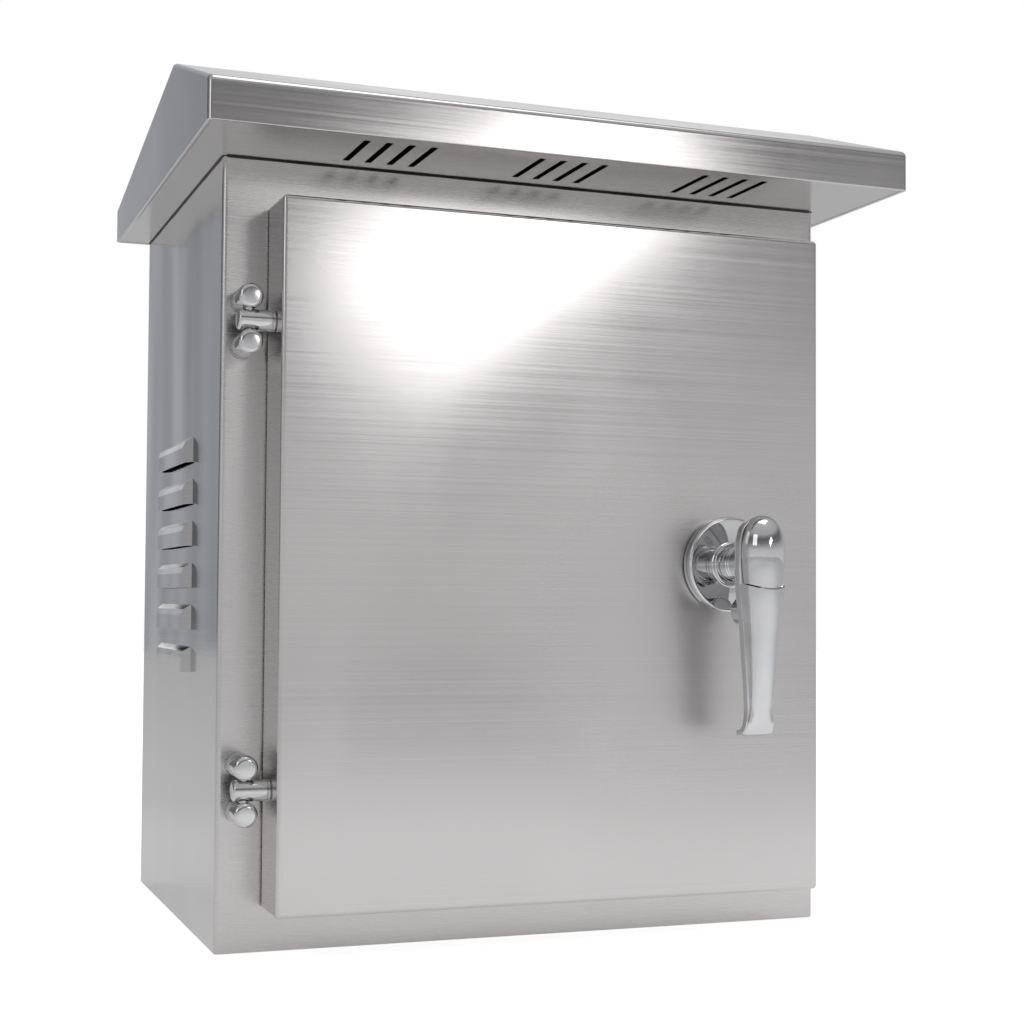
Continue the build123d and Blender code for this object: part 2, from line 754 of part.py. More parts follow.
# Key cylinder: a turned plug in the head, with an upright key slot
key_front_y = head_plane_y + key_recess
with BuildPart() as key_cylinder:
    with BuildSketch(facing_front(key_front_y + key_length)):
        with Locations((handle_x, handle_z)):
            Circle(key_radius)
    extrude(amount=key_length)
    with BuildSketch(facing_front(key_front_y + key_slot_depth)):
        with Locations((handle_x, handle_z)):
            Rectangle(key_slot_width, key_slot_height)
    extrude(amount=2 * key_slot_depth, mode=Mode.SUBTRACT)
key_cylinder.part.label = "key_cylinder"

# Mounting plate inside, on studs with hexagonal spacers welded to the back wall
with BuildPart() as mounting_plate:
    with BuildSketch(facing_front(plate_back_y)):
        with Locations((0, body_height / 2)):
            RectangleRounded(plate_width, plate_height, plate_corner_radius)
            with Locations(*stud_places):
                Circle(stud_radius + stud_hole_clearance, mode=Mode.SUBTRACT)
    extrude(amount=plate_thickness)
mounting_plate.part.label = "mounting_plate"

with BuildPart() as plate_studs:
    with BuildSketch(facing_front(back_y - sheet)):
        with Locations((0, body_height / 2)):
            with Locations(*stud_places):
                RegularPolygon(hexagon_radius(stud_spacer_across_flats), 6)
    extrude(amount=plate_from_back - sheet)
    with BuildSketch(facing_front(plate_back_y)):
        with Locations((0, body_height / 2)):
            with Locations(*stud_places):
                Circle(stud_radius)
    extrude(amount=plate_thickness + stud_end)
plate_studs.part.label = "plate_studs"

with BuildPart() as plate_washers:
    with BuildSketch(facing_front(plate_front_y)):
        with Locations((0, body_height / 2)):
            with Locations(*stud_places):
                Circle(m6_washer_radius)
                Circle(stud_radius + stud_hole_clearance, mode=Mode.SUBTRACT)
    extrude(amount=m6_washer_thickness)
plate_washers.part.label = "plate_washers"

with BuildPart() as plate_nuts:
    with BuildSketch(facing_front(plate_front_y - m6_washer_thickness)):
        with Locations((0, body_height / 2)):
            with Locations(*stud_places):
                RegularPolygon(hexagon_radius(m6_nut_across_flats), 6)
                Circle(stud_radius + bolt_seat_clearance, mode=Mode.SUBTRACT)
    extrude(amount=m6_nut_height)
plate_nuts.part.label = "plate_nuts"

# Earth studs with their nuts, one on the back wall and one on the door
with BuildPart() as earth_stud:
    with BuildSketch(facing_front(back_y - sheet)):
        with Locations((earth_stud_x, earth_stud_z)):
            Circle(stud_radius)
    extrude(amount=earth_stud_length)
earth_stud.part.label = "earth_stud"

with BuildPart() as earth_nut:
    with BuildSketch(facing_front(back_y - sheet - m6_washer_thickness)):
        with Locations((earth_stud_x, earth_stud_z)):
            RegularPolygon(hexagon_radius(m6_nut_across_flats), 6)
            Circle(stud_radius + bolt_seat_clearance, mode=Mode.SUBTRACT)
    extrude(amount=m6_nut_height)
earth_nut.part.label = "earth_nut"

door_earth_x = door_left_x + door_earth_inset
door_earth_z = door_bottom_margin + door_earth_inset
with BuildPart() as door_earth_stud:
    with BuildSketch(facing_front(door_inner_y + door_earth_length)):
        with Locations((door_earth_x, door_earth_z)):
            Circle(stud_radius)
    extrude(amount=door_earth_length)
door_earth_stud.part.label = "door_earth_stud"

with BuildPart() as door_earth_nut:
    with BuildSketch(facing_front(door_inner_y + m6_washer_thickness + m6_nut_height)):
        with Locations((door_earth_x, door_earth_z)):
            RegularPolygon(hexagon_radius(m6_nut_across_flats), 6)
            Circle(stud_radius + bolt_seat_clearance, mode=Mode.SUBTRACT)
    extrude(amount=m6_nut_height)
door_earth_nut.part.label = "door_earth_nut"

parts = [
    body_shell.part,
    doorway_collar.part,
    hood_roof.part,
    hood_soffit.part,
    hood_bolts.part,
    hood_nuts.part,
    *hinge_parts.values(),
    knuckle_nuts.part,
    arm_nuts.part,
    door_panel.part,
    door_gasket.part,
    rosette.part,
    rosette_seal.part,
    lock_nut.part,
    lever.part,
    spindle.part,
    latch_cam.part,
    cam_washer.part,
    cam_bolt.part,
    dust_cap.part,
    cap_pin.part,
    key_cylinder.part,
    mounting_plate.part,
    plate_studs.part,
    plate_washers.part,
    plate_nuts.part,
    earth_stud.part,
    earth_nut.part,
    door_earth_stud.part,
    door_earth_nut.part,
]
for piece in parts:
    print(piece.label, len(piece.solids()), round(piece.volume, 1), piece.is_valid)
    export_step(piece, f"parts/{piece.label}.step")
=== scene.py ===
import math

import bmesh
import bpy
import numpy as np
from mathutils import Matrix, Vector


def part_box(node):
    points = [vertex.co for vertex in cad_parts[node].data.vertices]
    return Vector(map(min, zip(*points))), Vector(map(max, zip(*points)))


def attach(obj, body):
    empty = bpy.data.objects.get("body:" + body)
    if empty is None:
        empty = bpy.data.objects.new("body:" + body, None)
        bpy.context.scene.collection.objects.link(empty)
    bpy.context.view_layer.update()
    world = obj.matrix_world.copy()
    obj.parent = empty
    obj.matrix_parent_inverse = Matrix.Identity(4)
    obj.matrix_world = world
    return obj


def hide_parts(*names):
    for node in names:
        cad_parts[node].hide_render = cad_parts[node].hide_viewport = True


bl_info = {
    "name": "Outdoor Utility Cabinet Finish",
    "version": (1, 0, 0),
    "blender": (4, 5, 0),
    "location": "3D View > Sidebar > Cabinet",
    "description": "Finishes, seals, handle and studio for a stainless cabinet with a rain hood",
    "category": "Add Mesh",
}

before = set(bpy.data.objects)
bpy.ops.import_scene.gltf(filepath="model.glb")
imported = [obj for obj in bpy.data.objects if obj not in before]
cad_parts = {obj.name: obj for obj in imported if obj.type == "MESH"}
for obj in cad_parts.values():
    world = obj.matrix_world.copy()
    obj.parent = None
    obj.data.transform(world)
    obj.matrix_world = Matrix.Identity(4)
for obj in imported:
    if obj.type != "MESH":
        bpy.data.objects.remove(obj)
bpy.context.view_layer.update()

BODY_NODES = ["body_shell", "doorway_collar"]
HOOD_NODES = ["hood_roof", "hood_soffit"]



# Sizes of the pieces made here, in metres

M5_RADIUS = 0.0025
M6_RADIUS = 0.003
M5_PITCH = 0.0008
M6_PITCH = 0.001
M5_FLATS = 0.008
M6_FLATS = 0.01
M5_BORE = M5_RADIUS + 0.00002
M6_BORE = M6_RADIUS + 0.00002
LOCK_NUT_FLATS = 0.03
LOCK_NUT_BORE = 0.01102
CAM_HEAD_HEIGHT = 0.0035
HANDLE_X = 0.0845
HANDLE_Z = 0.173
HINGE_HEIGHTS = (0.27675, 0.07275)
LOUVRE_BULGE = 0.0038
KEY_BORE = 0.0055
PIN_HOLE = 0.00152
CAP_SPACE = 0.0233
CAP_RISE = 0.0115
HEAD_DEPTH = 0.0048
BOSS_DROP = 0.0216
LEVER_BEND = 0.0036

# Directions

RIGHT = (1.0, 0.0, 0.0)
FRONT = (0.0, -1.0, 0.0)
BACK = (0.0, 1.0, 0.0)
UP = (0.0, 0.0, 1.0)

# How bright the floor shows to the camera, and the glow it gives to metal only: a painted reflection

FLOOR_LIFT = 0.75
PAINTED_FLOOR_REFLECTION = 0.42


# Lever stations from the foot to the top of the head, in millimetres: height over the
# spindle, half width, half width of the crown, depth over the crown, depth of the flank

LEVER_STATIONS = (
    (-71.6, 7.0, 6.3, 5.3, 3.4),
    (-66.5, 6.5, 5.3, 6.5, 3.4),
    (-60.0, 6.8, 5.5, 8.0, 3.6),
    (-34.0, 8.7, 7.6, 12.0, 4.2),
    (4.0, 11.3, 10.4, 15.2, 4.8),
    (12.0, 10.5, 9.6, 14.4, 4.8),
    (18.0, 7.8, 6.9, 11.7, 4.8),
    (21.3, 2.9, 2.1, 6.8, 4.8),
)

# The foot's stations by the angle it has turned, and its tip's by how far it runs on

FOOT_STATIONS = ((0.0, 7.0, 6.3, 5.3, 3.4), (45.0, 7.5, 7.0, 4.0, 2.9), (90.0, 7.4, 7.0, 3.1, 2.4))
TIP_STATIONS = (
    (0.4, 7.4, 7.0, 3.1, 2.4),
    (1.2, 7.35, 6.9, 3.05, 2.35),
    (1.7, 7.0, 6.5, 2.9, 2.2),
    (2.0, 6.3, 5.9, 2.5, 1.9),
)

# Greys that metal sees in the studio: by height on the camera's side of the object, and
# from left to right behind it

BEFORE_TONES = (
    (0.0, (0.72, 0.72, 0.72)),
    (0.08, (0.66, 0.66, 0.6732)),
    (0.14, (0.52, 0.52, 0.5304)),
    (0.20, (0.38, 0.38, 0.3876)),
    (0.27, (0.22, 0.22, 0.2244)),
    (0.38, (0.16, 0.16, 0.1632)),
    (0.6, (0.5, 0.5, 0.51)),
    (1.0, (0.62, 0.62, 0.63)),
)
BEHIND_TONES = (
    (0.15, (0.16, 0.165, 0.175)),
    (0.5, (0.31, 0.32, 0.345)),
    (0.68, (0.34, 0.355, 0.38)),
    (1.0, (0.44, 0.455, 0.48)),
)
BACKDROP_WAY = (0.33, 0.94, 0.04)

# Lamps: name, place, what it points at, width, height, spin in degrees, power in watts

LAMPS = (
    ("front_softbox", (0.575, -1.66, 0.69), (-0.02, -0.13, 0.30), 0.50, 0.26, 34.0, 1.2),
    ("left_softbox", (-1.5, -0.9, 0.9), (0.0, 0.0, 0.2), 0.7, 0.7, 0.0, 1.7),
    ("top_softbox", (0.2, -0.2, 1.9), (0.0, 0.0, 0.0), 1.0, 1.0, 0.0, 5.0),
)
FLOOR_HALF = 4.0
FLOOR_LEVEL = -0.0004

# Camera, as fitted to the photograph: angles in degrees, the rest in its pixels

CAMERA_PLACE = (-0.29987, -0.82542, 0.15521)
CAMERA_YAW, CAMERA_PITCH, CAMERA_ROLL = 19.32, 2.06, 0.44
PICTURE_SIDE = 1024.0
FOCAL_LENGTH = 1670.19
AXIS_ACROSS, AXIS_DOWN = 442.85, 540.67
SENSOR = 36.0


# Surfaces


def eased(where, stations):
    """Sizes between stations by cubic Hermite curves: each station's slope is the slope
    across its neighbours, so that the sizes run on without a corner."""
    stations = np.array(stations, dtype=float)
    at, sizes = stations[:, 0], stations[:, 1:]
    slopes = np.gradient(sizes, at, axis=0)
    low = np.clip(np.searchsorted(at, where) - 1, 0, len(at) - 2)
    span = (at[low + 1] - at[low])[:, None]
    share = (where[:, None] - at[low][:, None]) / span
    return (
        (2 * share**3 - 3 * share**2 + 1) * sizes[low]
        + (share**3 - 2 * share**2 + share) * span * slopes[low]
        + (3 * share**2 - 2 * share**3) * sizes[low + 1]
        + (share**3 - share**2) * span * slopes[low + 1]
    )


def grid_mesh(name, grids, crease=32.0):
    """One mesh from grids of points. A grid is (points, loops_u, loops_v): rows of points
    in space, joined where it loops. Rows that shrink to a point close it as a pole."""
    spots, faces, first = [], [], 0
    for points, loops_u, loops_v in grids:
        rows, columns = points.shape[:2]
        index = first + np.arange(rows * columns).reshape(rows, columns)
        if loops_u:
            index = np.vstack([index, index[:1]])
        if loops_v:
            index = np.hstack([index, index[:, :1]])
        quads = [index[:-1, :-1], index[1:, :-1], index[1:, 1:], index[:-1, 1:]]
        faces.append(np.stack(quads, axis=-1).reshape(-1, 4))
        spots.append(points.reshape(-1, 3))
        first += rows * columns
    mesh = bpy.data.meshes.new(name)
    mesh.from_pydata(np.vstack(spots).tolist(), [], np.vstack(faces).tolist())
    shape = bmesh.new()
    shape.from_mesh(mesh)
    bmesh.ops.remove_doubles(shape, verts=shape.verts, dist=1e-7)
    bmesh.ops.dissolve_degenerate(shape, edges=shape.edges, dist=1e-8)
    bmesh.ops.recalc_face_normals(shape, faces=shape.faces)
    shape.to_mesh(mesh)
    shape.free()
    mesh.shade_smooth()
    mesh.set_sharp_from_angle(angle=math.radians(crease))
    return mesh


def cut(mesh, name, cutters, crease=32.0):
    """The mesh with closed cutter shapes taken out of it."""
    holders = [bpy.data.objects.new(f"{name}_{count}", shape) for count, shape in enumerate((mesh, *cutters))]
    for holder in holders:
        bpy.context.scene.collection.objects.link(holder)
    for cutter in holders[1:]:
        modifier = holders[0].modifiers.new(cutter.name, "BOOLEAN")
        modifier.operation = "DIFFERENCE"
        modifier.solver = "EXACT"
        modifier.object = cutter
    ready = holders[0].evaluated_get(bpy.context.evaluated_depsgraph_get())
    result = bpy.data.meshes.new_from_object(ready)
    for holder in holders:
        shape = holder.data
        bpy.data.objects.remove(holder)
        bpy.data.meshes.remove(shape)
    result.name = name
    result.materials.clear()
    result.shade_smooth()
    result.set_sharp_from_angle(angle=math.radians(crease))
    return result


def placed(name, mesh, material, body, nodes=()):
    """Puts a mesh in the scene, on its body, in place of the nodes it stands for."""
    piece = bpy.data.objects.new(name, mesh)
    bpy.context.scene.collection.objects.link(piece)
    mesh.materials.append(material)
    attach(piece, body)
    if nodes:
        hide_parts(*nodes)
    return piece


def fixing(node, ending, grids, zinc, body):
    """Makes plated fixings from grids of points, in place of a CAD node."""
    name = f"{node}_{ending}"
    placed(name, grid_mesh(name, grids), zinc, body, [node])


def along(axis):
    """Three unit directions: two across an axis, then the axis."""
    axis = np.array(axis, dtype=float)
    across = np.array((1.0, 0.0, 0.0)) if abs(axis[0]) < 0.5 else np.array((0.0, 1.0, 0.0))
    return across, np.cross(axis, across), axis


def turned(centre, axis, profile, around=64):
    """Surface of revolution: a point at angle t and station s is the centre, plus radius(s)
    times the turning direction at t, plus height(s) times the axis."""
    turn = np.linspace(0.0, 2.0 * np.pi, around, endpoint=False)
    radii, heights = zip(*profile)
    return sectioned(centre, axis, turn, radii, heights, False)


def hexagon_reach(turn, flats):
    """Radius of a hexagon at an angle: half the flats over the cosine of the angle from
    the middle of the nearest flat."""
    return flats / 2.0 / np.cos(np.mod(turn + np.pi / 6.0, np.pi / 3.0) - np.pi / 6.0)


def nut(centre, axis, flats, bore, height):
    """Hexagon nut as one ring: at angle t its side stands at the hexagon's radius, and each
    end is cut by a thirty degree cone, so the height falls with the radius beyond the
    chamfer circle and leaves the curved edges that a turned nut has."""
    turn = np.linspace(0.0, 2.0 * np.pi, 72, endpoint=False)
    reach = hexagon_reach(turn, flats)
    chamfer = 0.475 * flats
    drop = (reach - chamfer) * math.tan(math.radians(30.0))
    sink = 0.0003
    radii = [bore, bore + sink, chamfer, reach, reach, chamfer, bore + sink, bore]
    levels = [sink, 0.0, 0.0, drop, height - drop, height, height, height - sink]
    return sectioned(centre, axis, turn, radii, levels, True)


def bolt_head(centre, axis, flats, height):
    """Hexagon head as one closed cap: flat underside, hexagon side, and a chamfered and
    slightly dished top that meets in one point on the axis."""
    turn = np.linspace(0.0, 2.0 * np.pi, 72, endpoint=False)
    reach = hexagon_reach(turn, flats)
    chamfer = 0.475 * flats
    drop = (reach - chamfer) * math.tan(math.radians(30.0))
    dish = 0.0003
    radii = [0.0, reach, reach, chamfer, 0.8 * chamfer, 0.7 * chamfer, 0.0]
    levels = [0.0, 0.0, height - drop, height, height, height - dish, height - dish]
    return sectioned(centre, axis, turn, radii, levels, False)


def ring(centre, axis, turn, radius, height, loops):
    """Points at given radii and heights round an axis, for every angle."""
    across, beside, axis = along(axis)
    way = np.cos(turn)[:, None] * across + np.sin(turn)[:, None] * beside
    return np.array(centre) + radius[..., None] * way + height[..., None] * axis, loops, True


def sectioned(centre, axis, turn, radii, heights, loops):
    """Ring from the radii and heights of a section's stations, each of them one number or
    one value for every angle."""
    radius, height = (np.array([value + 0.0 * turn for value in values]) for values in (radii, heights))
    return ring(centre, axis, turn, radius, height, loops)


def thread_groove(height, turn, pitch):
    """How deep a thread is cut, from 0 at the crest to 1: a rounded sawtooth of the height
    over the pitch, less the angle over one turn."""
    phase = np.mod(height / pitch - turn / (2.0 * np.pi), 1.0)
    return np.clip(1.25 - np.abs(2.0 * phase - 1.0) * 1.5, 0.0, 1.0)


def threaded(centre, axis, radius, pitch, start, end):
    """Threaded rod as one helicoid skin: at angle t and height h the radius is the crest,
    less the depth of a rounded sawtooth of h over the pitch minus t over one turn. Cones
    at both ends run the thread out, and each end closes in a point."""
    turn = np.linspace(0.0, 2.0 * np.pi, 28, endpoint=False)
    rows = max(8, int(round((end - start) / pitch * 9)))
    height = np.linspace(start, end, rows)[:, None] * np.ones_like(turn)
    groove = thread_groove(height, turn, pitch)
    depth = 0.55 * pitch
    runout = np.minimum(height - start, end - height)
    shaft = np.minimum(radius - depth * groove, radius - depth + runout)
    closed_radius = np.vstack([0 * turn, shaft, 0 * turn])
    closed_height = np.vstack([height[:1], height, height[-1:]])
    return ring(centre, axis, turn, closed_radius, closed_height, False)


def rounded_path(centre, width, height, corner, steps, beyond=0.0):
    """Points and outward directions round an upright rectangle with rounded corners: each
    corner is a quarter circle about its own centre, and straight runs join them."""
    turn = np.linspace(0.0, np.pi / 2.0, steps)
    spots, ways = [], []
    for quarter, (side_x, side_z) in enumerate(((1, 1), (-1, 1), (-1, -1), (1, -1))):
        angle = turn + quarter * np.pi / 2.0
        way = np.stack([np.cos(angle), np.zeros_like(angle), np.sin(angle)], axis=-1)
        hub = np.array((side_x * (width / 2.0 - corner), 0.0, side_z * (height / 2.0 - corner)))
        spots.append(np.array(centre) + hub + (corner + beyond) * way)
        ways.append(way)
    return np.vstack(spots), np.vstack(ways)


def level_path(half_width, front, back, height, corner, steps):
    """Points and outward directions round a level rectangle with rounded corners: each
    corner is a quarter circle about its own centre, and straight runs join them."""
    turn = np.linspace(0.0, np.pi / 2.0, steps)
    spots, ways = [], []
    for quarter, (side_x, side_y) in enumerate(((1, 1), (-1, 1), (-1, -1), (1, -1))):
        angle = turn + quarter * np.pi / 2.0
        way = np.stack([np.cos(angle), np.sin(angle), 0.0 * angle], axis=-1)
        edge = back if side_y > 0 else front
        hub = np.array((side_x * (half_width - corner), edge - side_y * corner, height))
        spots.append(hub + corner * way)
        ways.append(way)
    return np.vstack(spots), np.vstack(ways)


def resampled(spots, ways, step):
    """The same closed path with points a step apart, the length run at each point, and
    the whole length."""
    ends = np.vstack([spots, spots[:1]])
    runs = np.concatenate([[0.0], np.cumsum(np.linalg.norm(np.diff(ends, axis=0), axis=1))])
    count = int(runs[-1] / step)
    wanted = np.linspace(0.0, runs[-1], count, endpoint=False)
    around = np.vstack([ways, ways[:1]])
    place = np.stack([np.interp(wanted, runs, ends[:, axis]) for axis in range(3)], axis=-1)
    way = np.stack([np.interp(wanted, runs, around[:, axis]) for axis in range(3)], axis=-1)
    return place, way / np.linalg.norm(way, axis=1)[:, None], wanted, runs[-1]


def swept(place, way, outward, forward):
    """Tube of any section along a closed path: each section point stands its outward size
    along the path's outward direction and its forward size towards the front."""
    points = place[:, None, :] + outward[..., None] * way[:, None, :] + forward[..., None] * np.array(FRONT)
    return points, True, True


# Materials


def blank_material(name, colour, metallic, roughness):
    """New material with one Principled shader, and its node tree."""
    material = bpy.data.materials.new(name)
    material.use_nodes = True
    shader = material.node_tree.nodes["Principled BSDF"]
    shader.inputs["Base Color"].default_value = (*colour, 1.0)
    shader.inputs["Metallic"].default_value = metallic
    shader.inputs["Roughness"].default_value = roughness
    material.diffuse_color = (*colour, 1.0)
    return material, material.node_tree, shader


def object_place(tree, scale=(1.0, 1.0, 1.0), centre=(0.0, 0.0, 0.0)):
    """Object coordinates about a centre, stretched by a scale."""
    place = tree.nodes.new("ShaderNodeTexCoord")
    about = tree.nodes.new("ShaderNodeVectorMath")
    about.operation = "SUBTRACT"
    about.inputs[1].default_value = centre
    tree.links.new(place.outputs["Object"], about.inputs[0])
    sized = tree.nodes.new("ShaderNodeVectorMath")
    sized.operation = "MULTIPLY"
    sized.inputs[1].default_value = scale
    tree.links.new(about.outputs["Vector"], sized.inputs[0])
    return sized.outputs["Vector"]


def stretched_noise(tree, stretch, detail=2.0, roughness=0.5, distortion=0.0):
    """Noise on object coordinates, with a frequency per metre for each axis."""
    noise = tree.nodes.new("ShaderNodeTexNoise")
    noise.inputs["Scale"].default_value = 1.0
    noise.inputs["Detail"].default_value = detail
    noise.inputs["Roughness"].default_value = roughness
    noise.inputs["Distortion"].default_value = distortion
    tree.links.new(object_place(tree, stretch), noise.inputs["Vector"])
    return noise.outputs["Fac"]


def cells(tree, scale):
    """Voronoi cells on object coordinates: (distance, colour)."""
    node = tree.nodes.new("ShaderNodeTexVoronoi")
    node.inputs["Scale"].default_value = 1.0
    tree.links.new(object_place(tree, scale), node.inputs["Vector"])
    return node.outputs["Distance"], node.outputs["Color"]


def turning_marks(tree, centre, across, pitch):
    """Fine rings round an axis through a centre: noise of the distance from that axis."""
    length = tree.nodes.new("ShaderNodeVectorMath")
    length.operation = "LENGTH"
    tree.links.new(object_place(tree, across, centre), length.inputs[0])
    noise = tree.nodes.new("ShaderNodeTexNoise")
    noise.noise_dimensions = "1D"
    noise.inputs["Scale"].default_value = 1.0 / pitch
    noise.inputs["Detail"].default_value = 2.0
    tree.links.new(length.outputs["Value"], noise.inputs["W"])
    return noise.outputs["Fac"]


def ranged(tree, value, low, high, new_low, new_high):
    """A value mapped from one range to another, held at its ends."""
    node = tree.nodes.new("ShaderNodeMapRange")
    node.inputs["From Min"].default_value = low
    node.inputs["From Max"].default_value = high
    node.inputs["To Min"].default_value = new_low
    node.inputs["To Max"].default_value = new_high
    tree.links.new(value, node.inputs["Value"])
    return node.outputs["Result"]


def combined(tree, operation, first, second):
    """Two values, or a value and a number, joined by one operation."""
    node = tree.nodes.new("ShaderNodeMath")
    node.operation = operation
    for socket, value in zip(node.inputs, (first, second)):
        if isinstance(value, (int, float)):
            socket.default_value = value
        else:
            tree.links.new(value, socket)
    return node.outputs["Value"]


def smoothed(tree, value, low, high):
    """A value from 0 to 1 between two ends, eased at both."""
    share = ranged(tree, value, low, high, 0.0, 1.0)
    share.node.interpolation_type = "SMOOTHSTEP"
    return share


def eased_tones(tree, value, tones):
    """Colour picked by a value from eased steps of (position, colour)."""
    ramp = tree.nodes.new("ShaderNodeValToRGB")
    ramp.color_ramp.interpolation = "EASE"
    for element, (position, colour) in zip(ramp.color_ramp.elements, (tones[0], tones[-1])):
        element.position = position
        element.color = (*colour, 1.0)
    for position, colour in tones[1:-1]:
        ramp.color_ramp.elements.new(position).color = (*colour, 1.0)
    tree.links.new(value, ramp.inputs["Fac"])
    return ramp.outputs["Color"]


def two_tones(tree, value, dark, light):
    """Colour between two tones, picked by a value from 0 to 1."""
    ramp = tree.nodes.new("ShaderNodeValToRGB")
    ramp.color_ramp.elements[0].color = (*dark, 1.0)
    ramp.color_ramp.elements[1].color = (*light, 1.0)
    tree.links.new(value, ramp.inputs["Fac"])
    return ramp.outputs["Color"]


def shades(tone, darker, lighter):
    """A darker and a lighter form of one tone."""
    return tuple(darker * part for part in tone), tuple(min(1.0, lighter * part) for part in tone)


def bumped(tree, height, distance, under=None):
    """Bump node of a given depth in metres, on top of an earlier one."""
    bump = tree.nodes.new("ShaderNodeBump")
    bump.inputs["Distance"].default_value = distance
    tree.links.new(height, bump.inputs["Height"])
    if under is not None:
        tree.links.new(under, bump.inputs["Normal"])
    return bump.outputs["Normal"]


def scratches(tree, centre, reach, lean, width):
    """A few hairlines round a place on an upright face, each lean radians off level."""
    place = tree.nodes.new("ShaderNodeTexCoord")
    mapping = tree.nodes.new("ShaderNodeMapping")
    mapping.vector_type = "TEXTURE"
    mapping.inputs["Location"].default_value = centre
    mapping.inputs["Rotation"].default_value = (0.0, lean, 0.0)
    tree.links.new(place.outputs["Object"], mapping.inputs["Vector"])
    apart = tree.nodes.new("ShaderNodeSeparateXYZ")
    tree.links.new(mapping.outputs["Vector"], apart.inputs["Vector"])
    lines = tree.nodes.new("ShaderNodeTexNoise")
    lines.noise_dimensions = "1D"
    lines.inputs["Scale"].default_value = 1.0 / width
    lines.inputs["Detail"].default_value = 0.0
    tree.links.new(apart.outputs["Z"], lines.inputs["W"])
    thin = ranged(tree, lines.outputs["Fac"], 0.72, 0.78, 0.0, 1.0)
    length = tree.nodes.new("ShaderNodeVectorMath")
    length.operation = "LENGTH"
    tree.links.new(mapping.outputs["Vector"], length.inputs[0])
    near = ranged(tree, length.outputs["Value"], 0.3 * reach, reach, 1.0, 0.0)
    return combined(tree, "MULTIPLY", thin, near)


def brushed_steel(name, tone, roughness, grain, waves, grain_depth, wave_depth=0.0005):
    """Satin stainless sheet: grain lines along one axis, slow waves of the sheet, and faint
    cloudy patches where it has been wiped and handled."""
    material, tree, shader = blank_material(name, tone, 1.0, roughness)
    lines = stretched_noise(tree, grain, detail=3.0, roughness=0.6)
    slow = stretched_noise(tree, waves, detail=1.0)
    clouds = stretched_noise(tree, (14.0, 14.0, 9.0), detail=3.0, distortion=0.6)
    mixed = combined(tree, "MULTIPLY_ADD", lines, 0.5)
    tree.links.new(combined(tree, "MULTIPLY", clouds, 0.5), mixed.node.inputs[2])
    tones = two_tones(tree, ranged(tree, mixed, 0.35, 0.65, 0.0, 1.0), *shades(tone, 0.95, 1.04))
    tree.links.new(tones, shader.inputs["Base Color"])
    satin = ranged(tree, lines, 0.25, 0.75, roughness - 0.04, roughness + 0.05)
    wiped = ranged(tree, clouds, 0.3, 0.7, -0.02, 0.03)
    tree.links.new(combined(tree, "ADD", satin, wiped), shader.inputs["Roughness"])
    normal = bumped(tree, slow, wave_depth)
    normal = bumped(tree, lines, grain_depth, normal)
    tree.links.new(normal, shader.inputs["Normal"])
    return material, tree, shader, normal


def polished_metal(name, tone, roughness, smudge=0.05, ripple=0.00002, marks=None, marks_depth=0.0000015):
    """Polished or plated metal: a near mirror with slight ripples, cloudy finger marks in
    its roughness and, where given, rings left by turning."""
    material, tree, shader = blank_material(name, tone, 1.0, roughness)
    clouds = stretched_noise(tree, (90.0, 90.0, 60.0), detail=4.0, roughness=0.6, distortion=0.8)
    fine = stretched_noise(tree, (900.0, 900.0, 900.0), detail=2.0)
    tones = two_tones(tree, ranged(tree, clouds, 0.3, 0.7, 0.0, 1.0), *shades(tone, 0.96, 1.03))
    tree.links.new(tones, shader.inputs["Base Color"])
    handled = ranged(tree, clouds, 0.45, 0.75, roughness, roughness + smudge)
    tree.links.new(handled, shader.inputs["Roughness"])
    normal = bumped(tree, stretched_noise(tree, (60.0, 60.0, 60.0), detail=1.0), ripple)
    normal = bumped(tree, fine, 0.0000006, normal)
    if marks is not None:
        normal = bumped(tree, turning_marks(tree, *marks), marks_depth, normal)
    tree.links.new(normal, shader.inputs["Normal"])
    return material


def zinc_plate(name, tone):
    """Bright zinc: a slightly blue, finely grained plating with dull and bright patches."""
    material, tree, shader = blank_material(name, tone, 1.0, 0.3)
    patches = stretched_noise(tree, (260.0, 260.0, 260.0), detail=4.0, roughness=0.65)
    grain = stretched_noise(tree, (4000.0, 4000.0, 4000.0), detail=1.0)
    warm = (tone[0] * 1.02, tone[1], tone[2] * 0.93)
    cool = (tone[0] * 0.9, tone[1] * 0.93, tone[2] * 1.02)
    tones = two_tones(tree, ranged(tree, patches, 0.3, 0.7, 0.0, 1.0), cool, warm)
    tree.links.new(tones, shader.inputs["Base Color"])
    tree.links.new(ranged(tree, patches, 0.25, 0.75, 0.22, 0.42), shader.inputs["Roughness"])
    tree.links.new(bumped(tree, grain, 0.000002), shader.inputs["Normal"])
    return material


def galvanised(name, tone):
    """Hot dipped zinc: flat crystals of different greys that meet in faint ridges."""
    material, tree, shader = blank_material(name, tone, 1.0, 0.4)
    edge, crystal = cells(tree, (150.0, 150.0, 150.0))
    grey = tree.nodes.new("ShaderNodeRGBToBW")
    tree.links.new(crystal, grey.inputs["Color"])
    tones = two_tones(tree, grey.outputs["Val"], *shades(tone, 0.86, 1.1))
    tree.links.new(tones, shader.inputs["Base Color"])
    tree.links.new(ranged(tree, grey.outputs["Val"], 0.0, 1.0, 0.32, 0.5), shader.inputs["Roughness"])
    tree.links.new(bumped(tree, edge, 0.00004), shader.inputs["Normal"])
    return material


